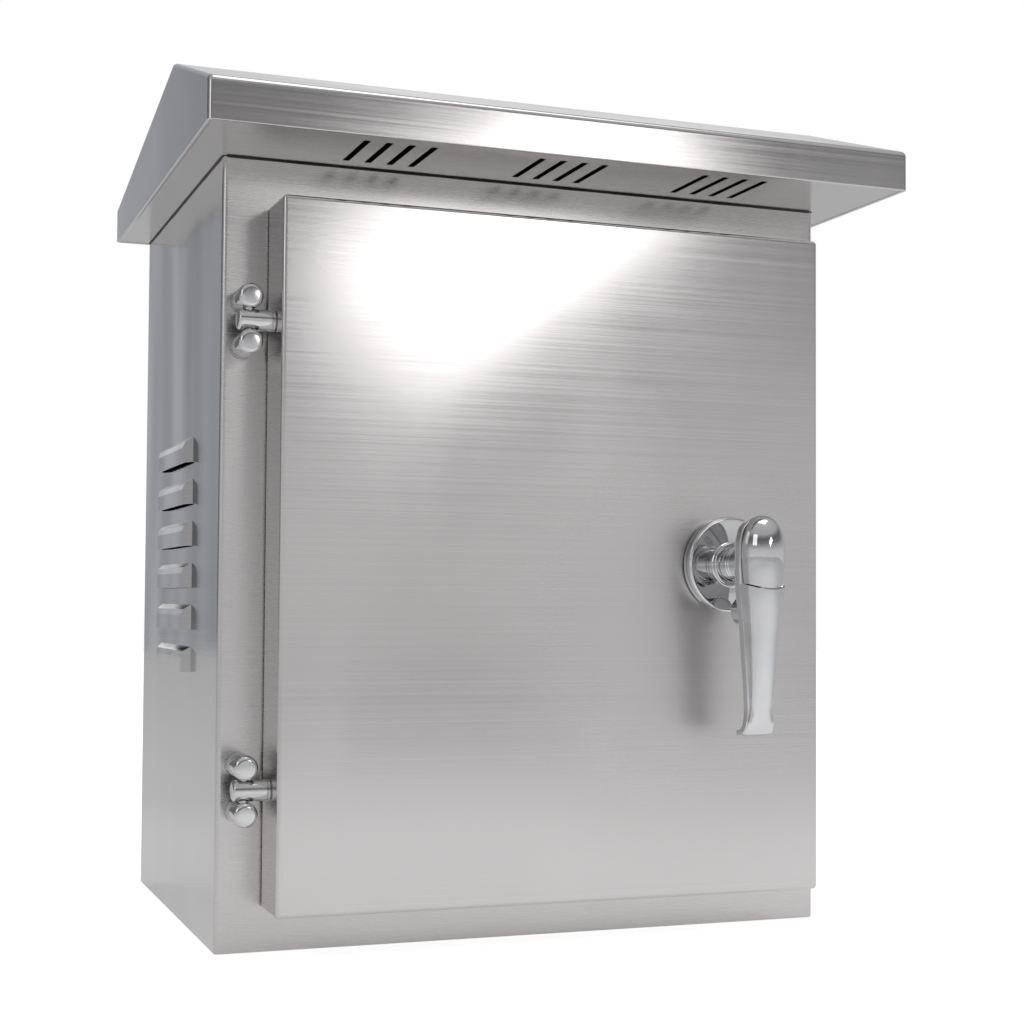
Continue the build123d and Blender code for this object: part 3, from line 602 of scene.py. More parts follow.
def soft_foam(name, tone, pore, depth, roughness):
    """Foam or rubber: a dark matt skin with pores of a given size in metres, whose pits are darker as painted
    shade, under a cloud of random tone.
    """
    material, tree, shader = blank_material(name, tone, 0.0, roughness)
    edge, _ = cells(tree, (1.0 / pore,) * 3)
    cloud = stretched_noise(tree, (40.0, 40.0, 40.0), detail=3.0)
    # Painted shade: the colour is darkest at the bottoms of the pores' pits, and a cloud varies the tone at
    # random
    shade = combined(tree, "MULTIPLY", ranged(tree, edge, 0.1, 0.6, 0.2, 1.0), cloud)
    tree.links.new(two_tones(tree, shade, *shades(tone, 0.5, 2.2)), shader.inputs["Base Color"])
    tree.links.new(ranged(tree, cloud, 0.3, 0.7, roughness - 0.12, roughness), shader.inputs["Roughness"])
    tree.links.new(bumped(tree, edge, depth), shader.inputs["Normal"])
    return material


def pale_floor(tone):
    """Matt floor that the camera sees as nearly white, shadow included. Metal sees it glow
    as well, a painted reflection: a grey which fades away from the cabinet."""
    material, tree, shader = blank_material("studio_floor", tone, 0.0, 0.95)
    path = tree.nodes.new("ShaderNodeLightPath")
    seen = combined(tree, "MAXIMUM", path.outputs["Is Camera Ray"], path.outputs["Is Transmission Ray"])
    # Painted reflection: emission seen by glossy rays only, strongest near the cabinet
    distance = tree.nodes.new("ShaderNodeVectorMath")
    distance.operation = "LENGTH"
    tree.links.new(object_place(tree, centre=(0.15, -0.35, 0.0)), distance.inputs[0])
    near = ranged(tree, distance.outputs["Value"], 0.2, 0.9, PAINTED_FLOOR_REFLECTION, 0.25 * PAINTED_FLOOR_REFLECTION)
    mirrored = combined(tree, "MULTIPLY", path.outputs["Is Glossy Ray"], near)
    shader.inputs["Emission Color"].default_value = (1.0, 1.0, 1.0, 1.0)
    lift = combined(tree, "MULTIPLY", seen, FLOOR_LIFT)
    tree.links.new(combined(tree, "MAXIMUM", lift, mirrored), shader.inputs["Emission Strength"])
    return material


def give(node_names, material):
    """Puts one material on CAD nodes, in the slots they came with."""
    for name in node_names:
        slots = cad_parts[name].material_slots
        for slot in slots:
            slot.material = material
        if not slots:
            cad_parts[name].data.materials.append(material)


class CabinetSettings(bpy.types.PropertyGroup):
    """Colours and roughness of the finishes"""

    steel_tone: bpy.props.FloatVectorProperty(
        name="Steel tone",
        description="Colour of the stainless sheet",
        default=(0.615, 0.60, 0.592),
        subtype="COLOR",
    )
    steel_roughness: bpy.props.FloatProperty(
        name="Steel roughness",
        description="How matt the brushed door is",
        default=0.17,
        min=0.0,
        max=1.0,
        subtype="FACTOR",
    )
    chrome_tone: bpy.props.FloatVectorProperty(
        name="Chrome tone",
        description="Colour of the plated handle",
        default=(0.65, 0.65, 0.66),
        subtype="COLOR",
    )
    floor_tone: bpy.props.FloatVectorProperty(
        name="Floor tone",
        description="Colour of the studio floor",
        default=(0.9, 0.9, 0.9),
        subtype="COLOR",
    )


class CABINET_OT_body(bpy.types.Operator):
    """Finishes the folded body, lays a black bead of painted shade along its joint to the hood and welds the
    doorway collar
    """

    bl_idname = "utility_cabinet.body"
    bl_label = "Body sheets"

    def execute(self, context):
        settings = context.scene.utility_cabinet
        tone = tuple(settings.steel_tone)
        sheet, tree, shader, _ = brushed_steel(
            "body_sheet", tone, 0.11, (3.0, 3.0, 1500.0), (9.0, 14.0, 4.0), 0.0000006, 0.0011
        )
        split = tree.nodes.new("ShaderNodeSeparateXYZ")
        tree.links.new(object_place(tree), split.inputs["Vector"])
        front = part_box("body_shell")[0][1]
        satin = ranged(tree, split.outputs["Y"], front + 0.0002, front + 0.002, 0.15, 0.0)
        polish = shader.inputs["Roughness"].links[0].from_socket
        tree.links.new(combined(tree, "ADD", polish, satin), shader.inputs["Roughness"])
        give(BODY_NODES, sheet)
        # Painted shade: a black bead along the hood joint stands in for the shadow in the gap there
        shadow_bead_black = soft_foam("joint_shadow_black", (0.014, 0.014, 0.014), 0.0009, 0.00002, 0.6)
        placed("hood_joint_shadow_bead", joint_shadow_bead("hood_joint_shadow_bead"), shadow_bead_black, "cabinet")
        weld = polished_metal("weld_bead", shades(tone, 0.8, 1.0)[0], 0.24, ripple=0.00004)
        placed("collar_weld", weld_bead("collar_weld", "doorway_collar"), weld, "cabinet")
        return {"FINISHED"}


def joint_shadow_bead(name):
    """Black bead in the corner between the body's walls and the hood's tray: painted shade, a dark
    strip that stands in for the shadow in that joint. Round the body at length s its section is a
    hollow fillet: a corner and a quarter circle that bows towards it, whose size breathes by a slow wave of
    s."""
    low, high = (np.array(corner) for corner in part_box("body_shell"))
    gap = 0.00002
    x, top = (high[0] - LOUVRE_BULGE) + gap, high[2] - gap
    front, back = low[1] - gap, high[1] - 0.001
    corner = 0.0022
    place, way, run, total = resampled(*level_path(x, front, back, top, corner, 10), 0.002)
    lap = 2.0 * np.pi * run / total
    size = 0.0008 * (1.0 + 0.08 * np.sin(31.0 * lap) * np.sin(7.0 * lap))
    bow = np.linspace(0.0, np.pi / 2.0, 6)
    foot = np.zeros((len(run), 1))
    outward = np.hstack([foot, size[:, None] * (1.0 - np.sin(bow))[None, ::-1]])
    down = np.hstack([foot, size[:, None] * (1.0 - np.cos(bow))[None, ::-1]])
    points = place[:, None, :] + outward[..., None] * way[:, None, :] - down[..., None] * np.array(UP)
    return grid_mesh(name, [(points, True, True)], crease=50.0)


def weld_bead(name, collar):
    """Fillet weld round the foot of the doorway collar. Along the path at length s the
    bead's quarter circle has the radius of its size times one plus a tenth of a rippled
    wave of s, which leans forward over the section as the puddle freezes."""
    low, high = (np.array(corner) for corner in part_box(collar))
    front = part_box("body_shell")[0][1]
    centre = ((low[0] + high[0]) / 2.0, front - 0.00002, (low[2] + high[2]) / 2.0)
    spots, ways = rounded_path(centre, high[0] - low[0], high[2] - low[2], 0.005, 12, 0.00002)
    place, way, run, total = resampled(spots, ways, 0.0004)
    waves = round(total / 0.0021)
    turn = np.linspace(0.0, np.pi / 2.0, 8)
    lap = 2.0 * np.pi * run[:, None] / total
    ripple = 1.0 + 0.1 * np.sin(waves * lap + 1.4 * np.sin(2.0 * turn)[None, :])
    reach = 0.0016 * ripple
    outward = np.hstack([np.zeros((len(run), 1)), reach * np.cos(turn)])
    forward = np.hstack([np.zeros((len(run), 1)), reach * np.sin(turn)])
    return grid_mesh(name, [swept(place, way, outward, forward)], crease=50.0)


class CABINET_OT_hood(bpy.types.Operator):
    """Finishes the rain hood and its slotted tray, and makes the bolts that hold it"""

    bl_idname = "utility_cabinet.hood"
    bl_label = "Rain hood"

    def execute(self, context):
        settings = context.scene.utility_cabinet
        tone = tuple(settings.steel_tone)
        sheet, *_ = brushed_steel("hood_sheet", tone, 0.17, (3.0, 1300.0, 1300.0), (5.0, 9.0, 9.0), 0.000003)
        give(HOOD_NODES, sheet)
        placed("hood_lip", hood_lip("hood_lip"), sheet, "cabinet")
        zinc = zinc_plate("hood_zinc", (0.62, 0.63, 0.65))
        low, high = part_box("hood_bolts")
        side_x, side_y = high[0] - 0.004619, high[1] - 0.004
        spots = [(x, y) for x in (-side_x, side_x) for y in (-side_y, side_y)]
        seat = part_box("body_shell")[1][2] - 0.0012
        grids = []
        for x, y in spots:
            grids.append(bolt_head((x, y, seat - 0.00001), (0.0, 0.0, -1.0), M5_FLATS, 0.003))
            grids.append(threaded((x, y, seat), UP, M5_RADIUS, M5_PITCH, -0.0001, high[2] - seat))
        fixing("hood_bolts", "threaded", grids, zinc, "cabinet")
        nut_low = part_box("hood_nuts")[0][2]
        grids = [nut((x, y, nut_low), UP, M5_FLATS, M5_BORE, 0.004) for x, y in spots]
        fixing("hood_nuts", "chamfered", grids, zinc, "cabinet")
        return {"FINISHED"}


def hood_lip(name):
    """Rounded lip along the foot of the fascias, which closes the joint to the tray. The
    path is the hood's outline, and the section a half ellipse as wide as the sheet and
    its joint, which hangs below them by under half a millimetre."""
    low, high = (np.array(corner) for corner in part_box("hood_roof"))
    wide, hang = 0.0011, 0.00042
    gap, corner = 0.00001, 0.001
    inset = wide + gap
    spots, ways = level_path(high[0] - inset, low[1] + inset, high[1] - inset, low[2] - gap, corner, 6)
    bow = np.linspace(0.0, np.pi, 9)
    outward, down = wide * np.cos(bow), hang * np.sin(bow)
    points = spots[:, None, :] + outward[None, :, None] * ways[:, None, :]
    points = points - down[None, :, None] * np.array(UP)
    return grid_mesh(name, [(points, True, True)], crease=60.0)


class CABINET_OT_door(bpy.types.Operator):
    """Finishes the brushed door pan and makes its foam seal"""

    bl_idname = "utility_cabinet.door"
    bl_label = "Door"

    def execute(self, context):
        settings = context.scene.utility_cabinet
        tone = tuple(settings.steel_tone)
        sheet, tree, shader, normal = brushed_steel(
            "door_sheet", tone, settings.steel_roughness, (3.0, 3.0, 1700.0), (4.0, 4.0, 4.0), 0.0000025
        )
        low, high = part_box("door_panel")
        marked = combined(
            tree,
            "MAXIMUM",
            scratches(tree, (low[0] + 0.024, low[1], high[2] - 0.012), 0.026, math.radians(-12.0), 0.0011),
            scratches(tree, (low[0] + 0.016, low[1], high[2] - 0.024), 0.012, math.radians(38.0), 0.0013),
        )
        tree.links.new(bumped(tree, marked, 0.0000022, normal), shader.inputs["Normal"])
        reach = tree.nodes.new("ShaderNodeVectorMath")
        reach.operation = "LENGTH"
        worn = (HANDLE_X - 0.012, low[1], HANDLE_Z - 0.03)
        tree.links.new(object_place(tree, centre=worn), reach.inputs[0])
        handled = ranged(tree, reach.outputs["Value"], 0.035, 0.12, 0.16, 0.0)
        satin = shader.inputs["Roughness"].links[0].from_socket
        tree.links.new(combined(tree, "ADD", satin, handled), shader.inputs["Roughness"])
        give(["door_panel"], sheet)
        foam = soft_foam("black_foam", (0.022, 0.022, 0.024), 0.0007, 0.00012, 0.95)
        placed("door_gasket_foam", foam_ring("door_gasket_foam"), foam, "door", ["door_gasket"])
        return {"FINISHED"}


def foam_ring(name):
    """Poured foam seal on a rounded rectangle. The section is a crown: at the share u
    across its width it stands its height times the square root of one less (2u - 1) to
    the power 2.6, so it bulges and meets the door steeply. Along the path the height and
    the width breathe by a few hundredths, as a poured bead does, and a shallow groove is
    pressed along its middle where the collar rests."""
    low, high = (np.array(corner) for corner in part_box("door_gasket"))
    width, height = high[0] - low[0], high[2] - low[2]
    band, thick = 0.011, high[1] - low[1]
    centre = ((low[0] + high[0]) / 2.0, high[1], (low[2] + high[2]) / 2.0)
    spots, ways = rounded_path(centre, width - band, height - band, 0.011 - band / 2.0 + 0.001, 10)
    place, way, run, total = resampled(spots, ways, 0.0025)
    turn = 2.0 * np.pi * run[:, None] / total
    breath = 0.5 * np.sin(23.0 * turn) + 0.3 * np.sin(41.0 * turn + 1.0) + 0.2 * np.sin(67.0 * turn + 2.0)
    share = np.linspace(-1.0, 1.0, 21)[None, :]
    crown = np.sqrt(np.clip(1.0 - np.abs(share) ** 2.6, 0.0, 1.0))
    groove = 0.0005 * np.exp(-((share / 0.18) ** 2))
    rise = (thick - 0.00005) * (0.975 + 0.02 * breath) * crown - groove
    outward = (band / 2.0 - 0.0001) * (0.97 + 0.02 * breath) * share
    bed = np.linspace(1.0, -1.0, 6)[None, 1:-1] * (band / 2.0 - 0.0001) * (0.97 + 0.02 * breath)
    outward = np.hstack([outward, bed])
    backward = np.hstack([np.clip(rise, 0.0, None), np.zeros_like(bed)])
    place[:, 1] = low[1] + 0.00002
    return grid_mesh(name, [swept(place, way, outward, -backward)], crease=60.0)


class CABINET_OT_hinges(bpy.types.Operator):
    """Turns the hinge knuckles and arms with rounded ends, and their nuts"""

    bl_idname = "utility_cabinet.hinges"
    bl_label = "Hinges"

    def execute(self, context):
        metal = polished_metal("turned_steel", (0.64, 0.64, 0.64), 0.09, smudge=0.07, ripple=0.00002)
        give(["upper_hinge_pin", "lower_hinge_pin"], metal)
        zinc = zinc_plate("hinge_zinc", (0.62, 0.63, 0.65))
        for side, hinge_z in zip(("upper", "lower"), HINGE_HEIGHTS):
            knuckles, arm = f"{side}_hinge_knuckles", f"{side}_hinge_arm"
            pair = knuckle_pair(knuckles, hinge_z)
            placed(f"{side}_knuckles_turned", pair, metal, "cabinet", [knuckles])
            placed(f"{side}_arm_turned", hinge_arm(arm, hinge_z), metal, "door", [arm])
        low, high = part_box("knuckle_nuts")
        x = (low[0] + high[0]) / 2.0
        places = [(x, low[1], z + step) for z in HINGE_HEIGHTS for step in (-0.01, 0.01)]
        grids = [nut(place, BACK, M5_FLATS, M5_BORE, high[1] - low[1]) for place in places]
        fixing("knuckle_nuts", "chamfered", grids, zinc, "cabinet")
        low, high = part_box("arm_nuts")
        y = (low[1] + high[1]) / 2.0
        grids = [nut((low[0], y, z), RIGHT, M5_FLATS, M5_BORE, high[0] - low[0]) for z in HINGE_HEIGHTS]
        fixing("arm_nuts", "chamfered", grids, zinc, "door")
        return {"FINISHED"}


def rounded_end(radius, corner, end, way, count=9):
    """Stations of a turned end: a quarter circle of the corner's size from the axis side
    to the full radius, which ends at a height. The way is 1 for a top and -1 for a foot."""
    turn = np.linspace(0.0, np.pi / 2.0, count)
    middle, level = radius - corner, end - way * corner
    return [(middle + corner * math.sin(t), level + way * corner * math.cos(t)) for t in turn]


def knuckle_pair(node, hinge_z):
    """Two turned knuckles with rounded ends. The radius at angle t is the turned profile's,
    held to the slot's distance over the sine of t on the side of the arm, which cuts the
    flat that the arm passes. A threaded tail follows behind each."""
    low, high = (np.array(corner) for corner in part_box(node))
    x = (low[0] + high[0]) / 2.0
    face, foot, tail = low[1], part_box("body_shell")[0][1], high[1]
    radius, length = (high[0] - low[0]) / 2.0, foot - face
    slot = 0.005
    profile = [(0.0, length)] + rounded_end(radius, 0.0024, length, 1.0)
    profile += [(radius, length * 0.5), (radius, 0.0006), (radius - 0.0003, 0.0001), (0.0, 0.0001)]
    turn = np.linspace(0.0, 2.0 * np.pi, 72, endpoint=False)
    grids = []
    for side in (-1.0, 1.0):
        stations = np.array(profile)
        towards = -side * np.sin(turn)
        limit = np.where(towards > 0.05, slot / np.maximum(towards, 0.05), 1.0)
        reach = np.minimum(stations[:, :1], limit[None, :])
        way = np.cos(turn)[:, None] * np.array(RIGHT) + np.sin(turn)[:, None] * np.array(UP)
        centre = np.array((x, foot, hinge_z + side * 0.01))
        points = centre + reach[..., None] * way + stations[:, 1][:, None, None] * np.array(FRONT)
        grids.append((points, False, True))
        grids.append(threaded(centre, BACK, M5_RADIUS, M5_PITCH, 0.0, tail - foot))
    return grid_mesh(f"{node}_turned", grids, crease=40.0)


def hinge_arm(node, hinge_z):
    """Turned arm along the width: full radius between a rounded end past the pin and a
    narrow groove and shoulder where it meets the door, then a threaded tail."""
    low, high = (np.array(corner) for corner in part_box(node))
    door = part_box("door_panel")[0][0]
    radius = (high[2] - low[2]) / 2.0
    y = (low[1] + high[1]) / 2.0
    length = door - low[0]
    profile = [(0.0, 0.0)] + rounded_end(radius, 0.0016, 0.0, -1.0)
    profile += [(radius, length * 0.5), (radius, length - 0.0019), (radius - 0.00025, length - 0.0017)]
    profile += [(radius - 0.00025, length - 0.0014), (radius, length - 0.0012), (radius, length - 0.0005)]
    profile += [(radius - 0.0005, length - 0.00002), (0.0, length - 0.00002)]
    body = turned((low[0], y, hinge_z), RIGHT, profile)
    tail = threaded((door, y, hinge_z), RIGHT, M5_RADIUS, M5_PITCH, -0.0003, high[0] - door)
    return grid_mesh(f"{node}_turned", [body, tail], crease=40.0)


class CABINET_OT_handle(bpy.types.Operator):
    """Casts the lever, turns its rosette, rubber seal and lock nut, and finishes the set"""

    bl_idname = "utility_cabinet.handle"
    bl_label = "Handle"

    def execute(self, context):
        settings = context.scene.utility_cabinet
        tone = tuple(settings.chrome_tone)
        chrome = polished_metal("chrome_plate", tone, 0.035, smudge=0.05, ripple=0.00001)
        give(["dust_cap"], chrome)
        placed("lever_cast", cast_lever(), chrome, "handle", ["lever"])
        placed("lever_neck_turned", lever_neck(), chrome, "handle")
        axis, across = (HANDLE_X, 0.0, HANDLE_Z), (1.0, 0.0, 1.0)
        ringed = polished_metal("turned_chrome", tone, 0.04, ripple=0.000006, marks=(axis, across, 0.0006))
        placed("rosette_turned", rosette_disc(), ringed, "door", ["rosette"])
        rubber = soft_foam("black_rubber", (0.02, 0.02, 0.02), 0.00025, 0.00001, 0.62)
        placed("rosette_seal_rubber", rubber_ring(), rubber, "door", ["rosette_seal"])
        marks = (axis, across, 0.0003)
        brass = (0.62, 0.55, 0.40)
        nickel = polished_metal("nickelled_brass", brass, 0.16, marks=marks, marks_depth=0.000004)
        give(["key_cylinder"], nickel)
        zinc = zinc_plate("lock_zinc", (0.62, 0.63, 0.65))
        low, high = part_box("lock_nut")
        middle = (HANDLE_X, low[1], HANDLE_Z)
        big_nut = nut(middle, BACK, LOCK_NUT_FLATS, LOCK_NUT_BORE, high[1] - low[1])
        fixing("lock_nut", "chamfered", [big_nut], zinc, "door")
        return {"FINISHED"}


def lever_section(sizes, count=28):
    """Section of the lever for each station, as (across, depth): a flat back with rounded
    corners, upright flanks, a narrow ledge on each side, and a crown that is half an
    ellipse between the ledges."""
    wide, crown, depth, flank = (sizes[:, column][:, None] for column in range(4))
    ease = 0.5
    turn = np.linspace(0.0, np.pi, count)[None, :]
    corner = np.linspace(0.0, np.pi / 2.0, 4)[None, :]
    across = [
        np.linspace(-1.0, 1.0, 7)[None, 1:-1] * (wide - ease),
        wide - ease + ease * np.sin(corner),
        wide + 0.0 * corner[:, :2],
        wide - 0.3 + 0.3 * np.cos(corner[:, ::2]),
        crown * np.cos(turn),
        -(wide - 0.3 + 0.3 * np.sin(corner[:, 1::2])),
        -(wide + 0.0 * corner[:, :2]),
        -(wide - ease + ease * np.cos(corner)),
    ]
    rise = [
        0.0 * wide + np.zeros((1, 5)),
        ease - ease * np.cos(corner) + 0.0 * wide,
        ease + (flank - 0.3 - ease) * np.array([[0.35, 0.75]]),
        flank - 0.3 + 0.3 * np.sin(corner[:, ::2]),
        flank + (depth - flank) * np.sin(turn),
        flank - 0.3 + 0.3 * np.cos(corner[:, 1::2]),
        ease + (flank - 0.3 - ease) * np.array([[0.75, 0.35]]),
        ease - ease * np.sin(corner) + 0.0 * wide,
    ]
    return np.hstack(across) / 1000.0, np.hstack(rise) / 1000.0


def drill(name, centre, radius, start, end, around):
    """Closed rod that runs towards the front, to cut a round hole with."""
    profile = [(0.0, start), (radius, start), (radius, end), (0.0, end)]
    return grid_mesh(name, [turned(centre, FRONT, profile, around)])


def cast_lever():
    """Cast lever as one skin over two parameters, along and round it. Along it the sizes
    are eased between stations. Down to the foot the skin runs straight; there the depth
    direction turns by a quarter circle towards the door about an axis behind the lever,
    and runs on to a short rounded tip. The cap's round space in front of the head, the
    key's bore and the pin's hole are cut from it."""
    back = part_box("cap_pin")[1][1]
    foot = LEVER_STATIONS[0][0]
    heights = np.concatenate([np.linspace(foot, 18.0, 90), np.linspace(18.3, 21.3, 12)])
    across, rise = lever_section(eased(heights, LEVER_STATIONS))
    level = HANDLE_Z + heights[:, None] / 1000.0 + 0.0 * across
    straight = np.stack([HANDLE_X + across, back - rise, level], axis=-1)
    hub_y, hub_z = back + LEVER_BEND, HANDLE_Z + foot / 1000.0
    turn = np.linspace(90.0, 4.0, 18)
    across, rise = lever_section(eased(turn, FOOT_STATIONS))
    angle = np.radians(turn)[:, None]
    reach = LEVER_BEND + rise
    curl_y, curl_z = hub_y - reach * np.cos(angle), hub_z - reach * np.sin(angle)
    curl = np.stack([HANDLE_X + across, curl_y, curl_z], axis=-1)
    stations = np.array(TIP_STATIONS)
    across, rise = lever_section(stations[:, 1:])
    past = stations[:, :1] / 1000.0 + 0.0 * rise
    tip = np.stack([HANDLE_X + across, hub_y + past, hub_z - LEVER_BEND - rise], axis=-1)[::-1]
    first = tip[:1].mean(axis=1, keepdims=True) + 0.0 * tip[:1]
    top = straight[-1:].mean(axis=1, keepdims=True) + np.array((0.0, 0.0, 0.0006)) + 0.0 * straight[-1:]
    near_top = straight[-1:] * 0.45 + top * 0.55
    rows = np.concatenate([first, tip, curl, straight, near_top, top])
    skin = grid_mesh("lever_skin", [(rows, False, True)])
    cap_axis, key_axis = HANDLE_Z + CAP_RISE, HANDLE_Z
    space = drill("cap_space", (HANDLE_X, back - HEAD_DEPTH, cap_axis), CAP_SPACE, 0.0, 0.03, 128)
    bore = drill("key_bore", (HANDLE_X, 0.0, key_axis), KEY_BORE, 0.1, 0.2, 64)
    hole = drill("pin_hole", (HANDLE_X, 0.0, cap_axis), PIN_HOLE, 0.1, 0.2, 32)
    return cut(skin, "lever_cast", (space, bore, hole))


def lever_neck():
    """Turned neck and boss behind the lever. The neck is a ring with two thin grooves and
    a band; the boss is a short rod whose rim is a quarter circle."""
    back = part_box("cap_pin")[1][1]
    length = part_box("lever")[1][1] - back
    bore, radius = 0.00502, 0.0084
    profile = [(KEY_BORE, -0.0002), (KEY_BORE, 0.0076), (bore, 0.0078), (bore, length)]
    profile += [(radius - 0.0004, length), (radius, length - 0.0004)]
    for middle in (0.0132, 0.0112):
        profile += [(radius, middle + 0.0005), (radius - 0.0005, middle + 0.0002)]
        profile += [(radius - 0.0005, middle - 0.0002), (radius, middle - 0.0005)]
    profile += [(radius, 0.0042), (0.0089, 0.0040), (0.0095, 0.0034), (0.0095, 0.0004), (0.0097, -0.0002)]
    neck = turned((HANDLE_X, back, HANDLE_Z), BACK, profile, 96)[0]
    rod = [(0.0, -0.0002), (0.0070, -0.0002), (0.0068, 0.0006)]
    rod += rounded_end(0.0068, 0.0008, 0.0120, 1.0, 6)[::-1]
    rod += [(0.004, 0.0119), (0.0, 0.0119)]
    boss = turned((HANDLE_X, back, HANDLE_Z - BOSS_DROP), BACK, rod)
    return grid_mesh("lever_neck_turned", [(neck, True, True), boss])


def rosette_disc():
    """Turned rosette and barrel as one ring about the spindle: rounded front rim, a groove
    round its edge, a faintly dished face up to the neck ring, and a threaded barrel whose
    radius falls with a rounded sawtooth of the height and the angle."""
    low, high = (np.array(corner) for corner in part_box("rosette"))
    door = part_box("door_panel")[0][1]
    back = high[1]
    radius = (high[0] - low[0]) / 2.0
    seal = 0.0008
    top = back - (door - seal)
    rim = top + 0.0062
    collar = back - low[1]
    bore = 0.00508
    profile = [(bore, 0.0), (bore, collar), (0.0088, collar)]
    profile += rounded_end(0.0104, 0.0006, collar, 1.0, 5)
    profile += [(0.0104, rim + 0.0003), (0.0107, rim)]
    profile += [(0.0135, rim - 0.00012), (0.0185, rim - 0.00012), (0.0205, rim)]
    profile += rounded_end(radius, 0.0011, rim, 1.0, 7)
    profile += [(radius, top + 0.0036), (radius - 0.0008, top + 0.0034), (radius - 0.0008, top + 0.0027)]
    profile += [(radius, top + 0.0025), (radius, top + 0.0004)]
    profile += [(radius - 0.0004, top + 0.00001), (0.0109, top + 0.00001)]
    disc = turned((HANDLE_X, back, HANDLE_Z), FRONT, profile, 128)[0]
    turn = np.linspace(0.0, 2.0 * np.pi, 128, endpoint=False)
    pitch = 0.0012
    height = np.linspace(top - 0.0001, 0.0003, 60)[:, None] * np.ones_like(turn)
    groove = thread_groove(height, turn, pitch)
    shaft = 0.011 - 0.0006 * groove * np.clip((top - 0.0014 - height) / 0.0006, 0.0, 1.0)
    barrel = ring((HANDLE_X, back, HANDLE_Z), FRONT, turn, shaft, height, False)[0]
    return grid_mesh("rosette_turned", [(np.concatenate([disc, barrel]), True, True)], crease=35.0)


def rubber_ring():
    """Thin rubber washer under the rosette: a ring whose outer lip is a half circle that
    swells by the squeeze of the rosette."""
    low, high = (np.array(corner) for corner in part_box("rosette_seal"))
    thick = high[1] - low[1]
    outer = (high[0] - low[0]) / 2.0
    half = thick / 2.0 - 0.00001
    turn = np.linspace(-np.pi / 2.0, np.pi / 2.0, 9)
    lip = [(outer - half + half * math.cos(t), half + half * math.sin(t)) for t in turn]
    profile = [(0.01128, 0.0), (0.016, 0.0)] + lip + [(0.016, 2 * half), (0.01128, 2 * half)]
    points, _, looped = turned((HANDLE_X, high[1] - 0.00001, HANDLE_Z), FRONT, profile, 96)
    return grid_mesh("rosette_seal_rubber", [(points, True, looped)], crease=50.0)


class CABINET_OT_fixings(bpy.types.Operator):
    """Makes the studs, nuts and cam bolt with real threads, and finishes the plate"""

    bl_idname = "utility_cabinet.fixings"
    bl_label = "Fixings and plate"

    def execute(self, context):
        zinc = zinc_plate("bright_zinc", (0.62, 0.63, 0.65))
        give(["cap_pin", "spindle", "latch_cam", "cam_washer", "plate_washers"], zinc)
        give(["mounting_plate"], galvanised("galvanised_sheet", (0.56, 0.58, 0.6)))

        low, high = (np.array(corner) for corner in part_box("plate_washers"))
        reach = 0.006
        spots = [(x, z) for x in (low[0] + reach, high[0] - reach) for z in (low[2] + reach, high[2] - reach)]
        stud_low, stud_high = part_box("plate_studs")
        plate_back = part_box("mounting_plate")[1][1]
        grids = []
        for x, z in spots:
            grids.append(welded_spacer((x, stud_high[1], z), FRONT, M6_FLATS, stud_high[1] - plate_back))
            reach = plate_back - stud_low[1]
            grids.append(threaded((x, plate_back, z), FRONT, M6_RADIUS, M6_PITCH, -0.0003, reach))
        fixing("plate_studs", "threaded", grids, zinc, "cabinet")
        nut_low, nut_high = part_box("plate_nuts")
        thick = nut_high[1] - nut_low[1]
        grids = [nut((x, nut_high[1], z), FRONT, M6_FLATS, M6_BORE, thick) for x, z in spots]
        fixing("plate_nuts", "chamfered", grids, zinc, "cabinet")

        for stud, stud_nut, body, way in (
            ("earth_stud", "earth_nut", "cabinet", -1.0),
            ("door_earth_stud", "door_earth_nut", "door", 1.0),
        ):
            low, high = (np.array(corner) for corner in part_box(stud))
            nut_low, nut_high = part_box(stud_nut)
            x, z = (low[0] + high[0]) / 2.0, (low[2] + high[2]) / 2.0
            foot = high[1] if way < 0 else low[1]
            nut_foot = nut_high[1] if way < 0 else nut_low[1]
            rod = threaded((x, foot, z), (0.0, way, 0.0), M6_RADIUS, M6_PITCH, 0.0, high[1] - low[1])
            collar = nut((x, nut_foot, z), (0.0, way, 0.0), M6_FLATS, M6_BORE, nut_high[1] - nut_low[1])
            fixing(stud, "threaded", [rod], zinc, body)
            fixing(stud_nut, "chamfered", [collar], zinc, body)

        low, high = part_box("cam_bolt")
        seat, gap = high[1] - CAM_HEAD_HEIGHT, 0.00001
        head = bolt_head((HANDLE_X, seat + gap, HANDLE_Z), BACK, M5_FLATS, CAM_HEAD_HEIGHT - gap)
        shank = threaded((HANDLE_X, seat, HANDLE_Z), FRONT, M5_RADIUS, M5_PITCH, -0.0001, seat - low[1])
        fixing("cam_bolt", "threaded", [head, shank], zinc, "handle")
        return {"FINISHED"}


def welded_spacer(centre, axis, flats, length):
    """Hexagonal spacer that stands on the wall: at angle t the side is at the hexagon's
    radius, the foot flares by a quarter circle of weld, and the far end has a cone."""
    turn = np.linspace(0.0, 2.0 * np.pi, 72, endpoint=False)
    reach = hexagon_reach(turn, flats)
    weld = 0.0011
    radii, levels = [0.0, reach + weld], [0.0, 0.0]
    for t in np.linspace(0.0, np.pi / 2.0, 5):
        radii.append(reach + weld * (1.0 - math.sin(t)))
        levels.append(weld * (1.0 - math.cos(t)) + 0.0001)
    chamfer = 0.47 * flats
    drop = (reach - chamfer) * math.tan(math.radians(30.0))
    radii += [reach, chamfer, 0.0]
    levels += [length - drop, length, length]
    return sectioned(centre, axis, turn, radii, levels, False)


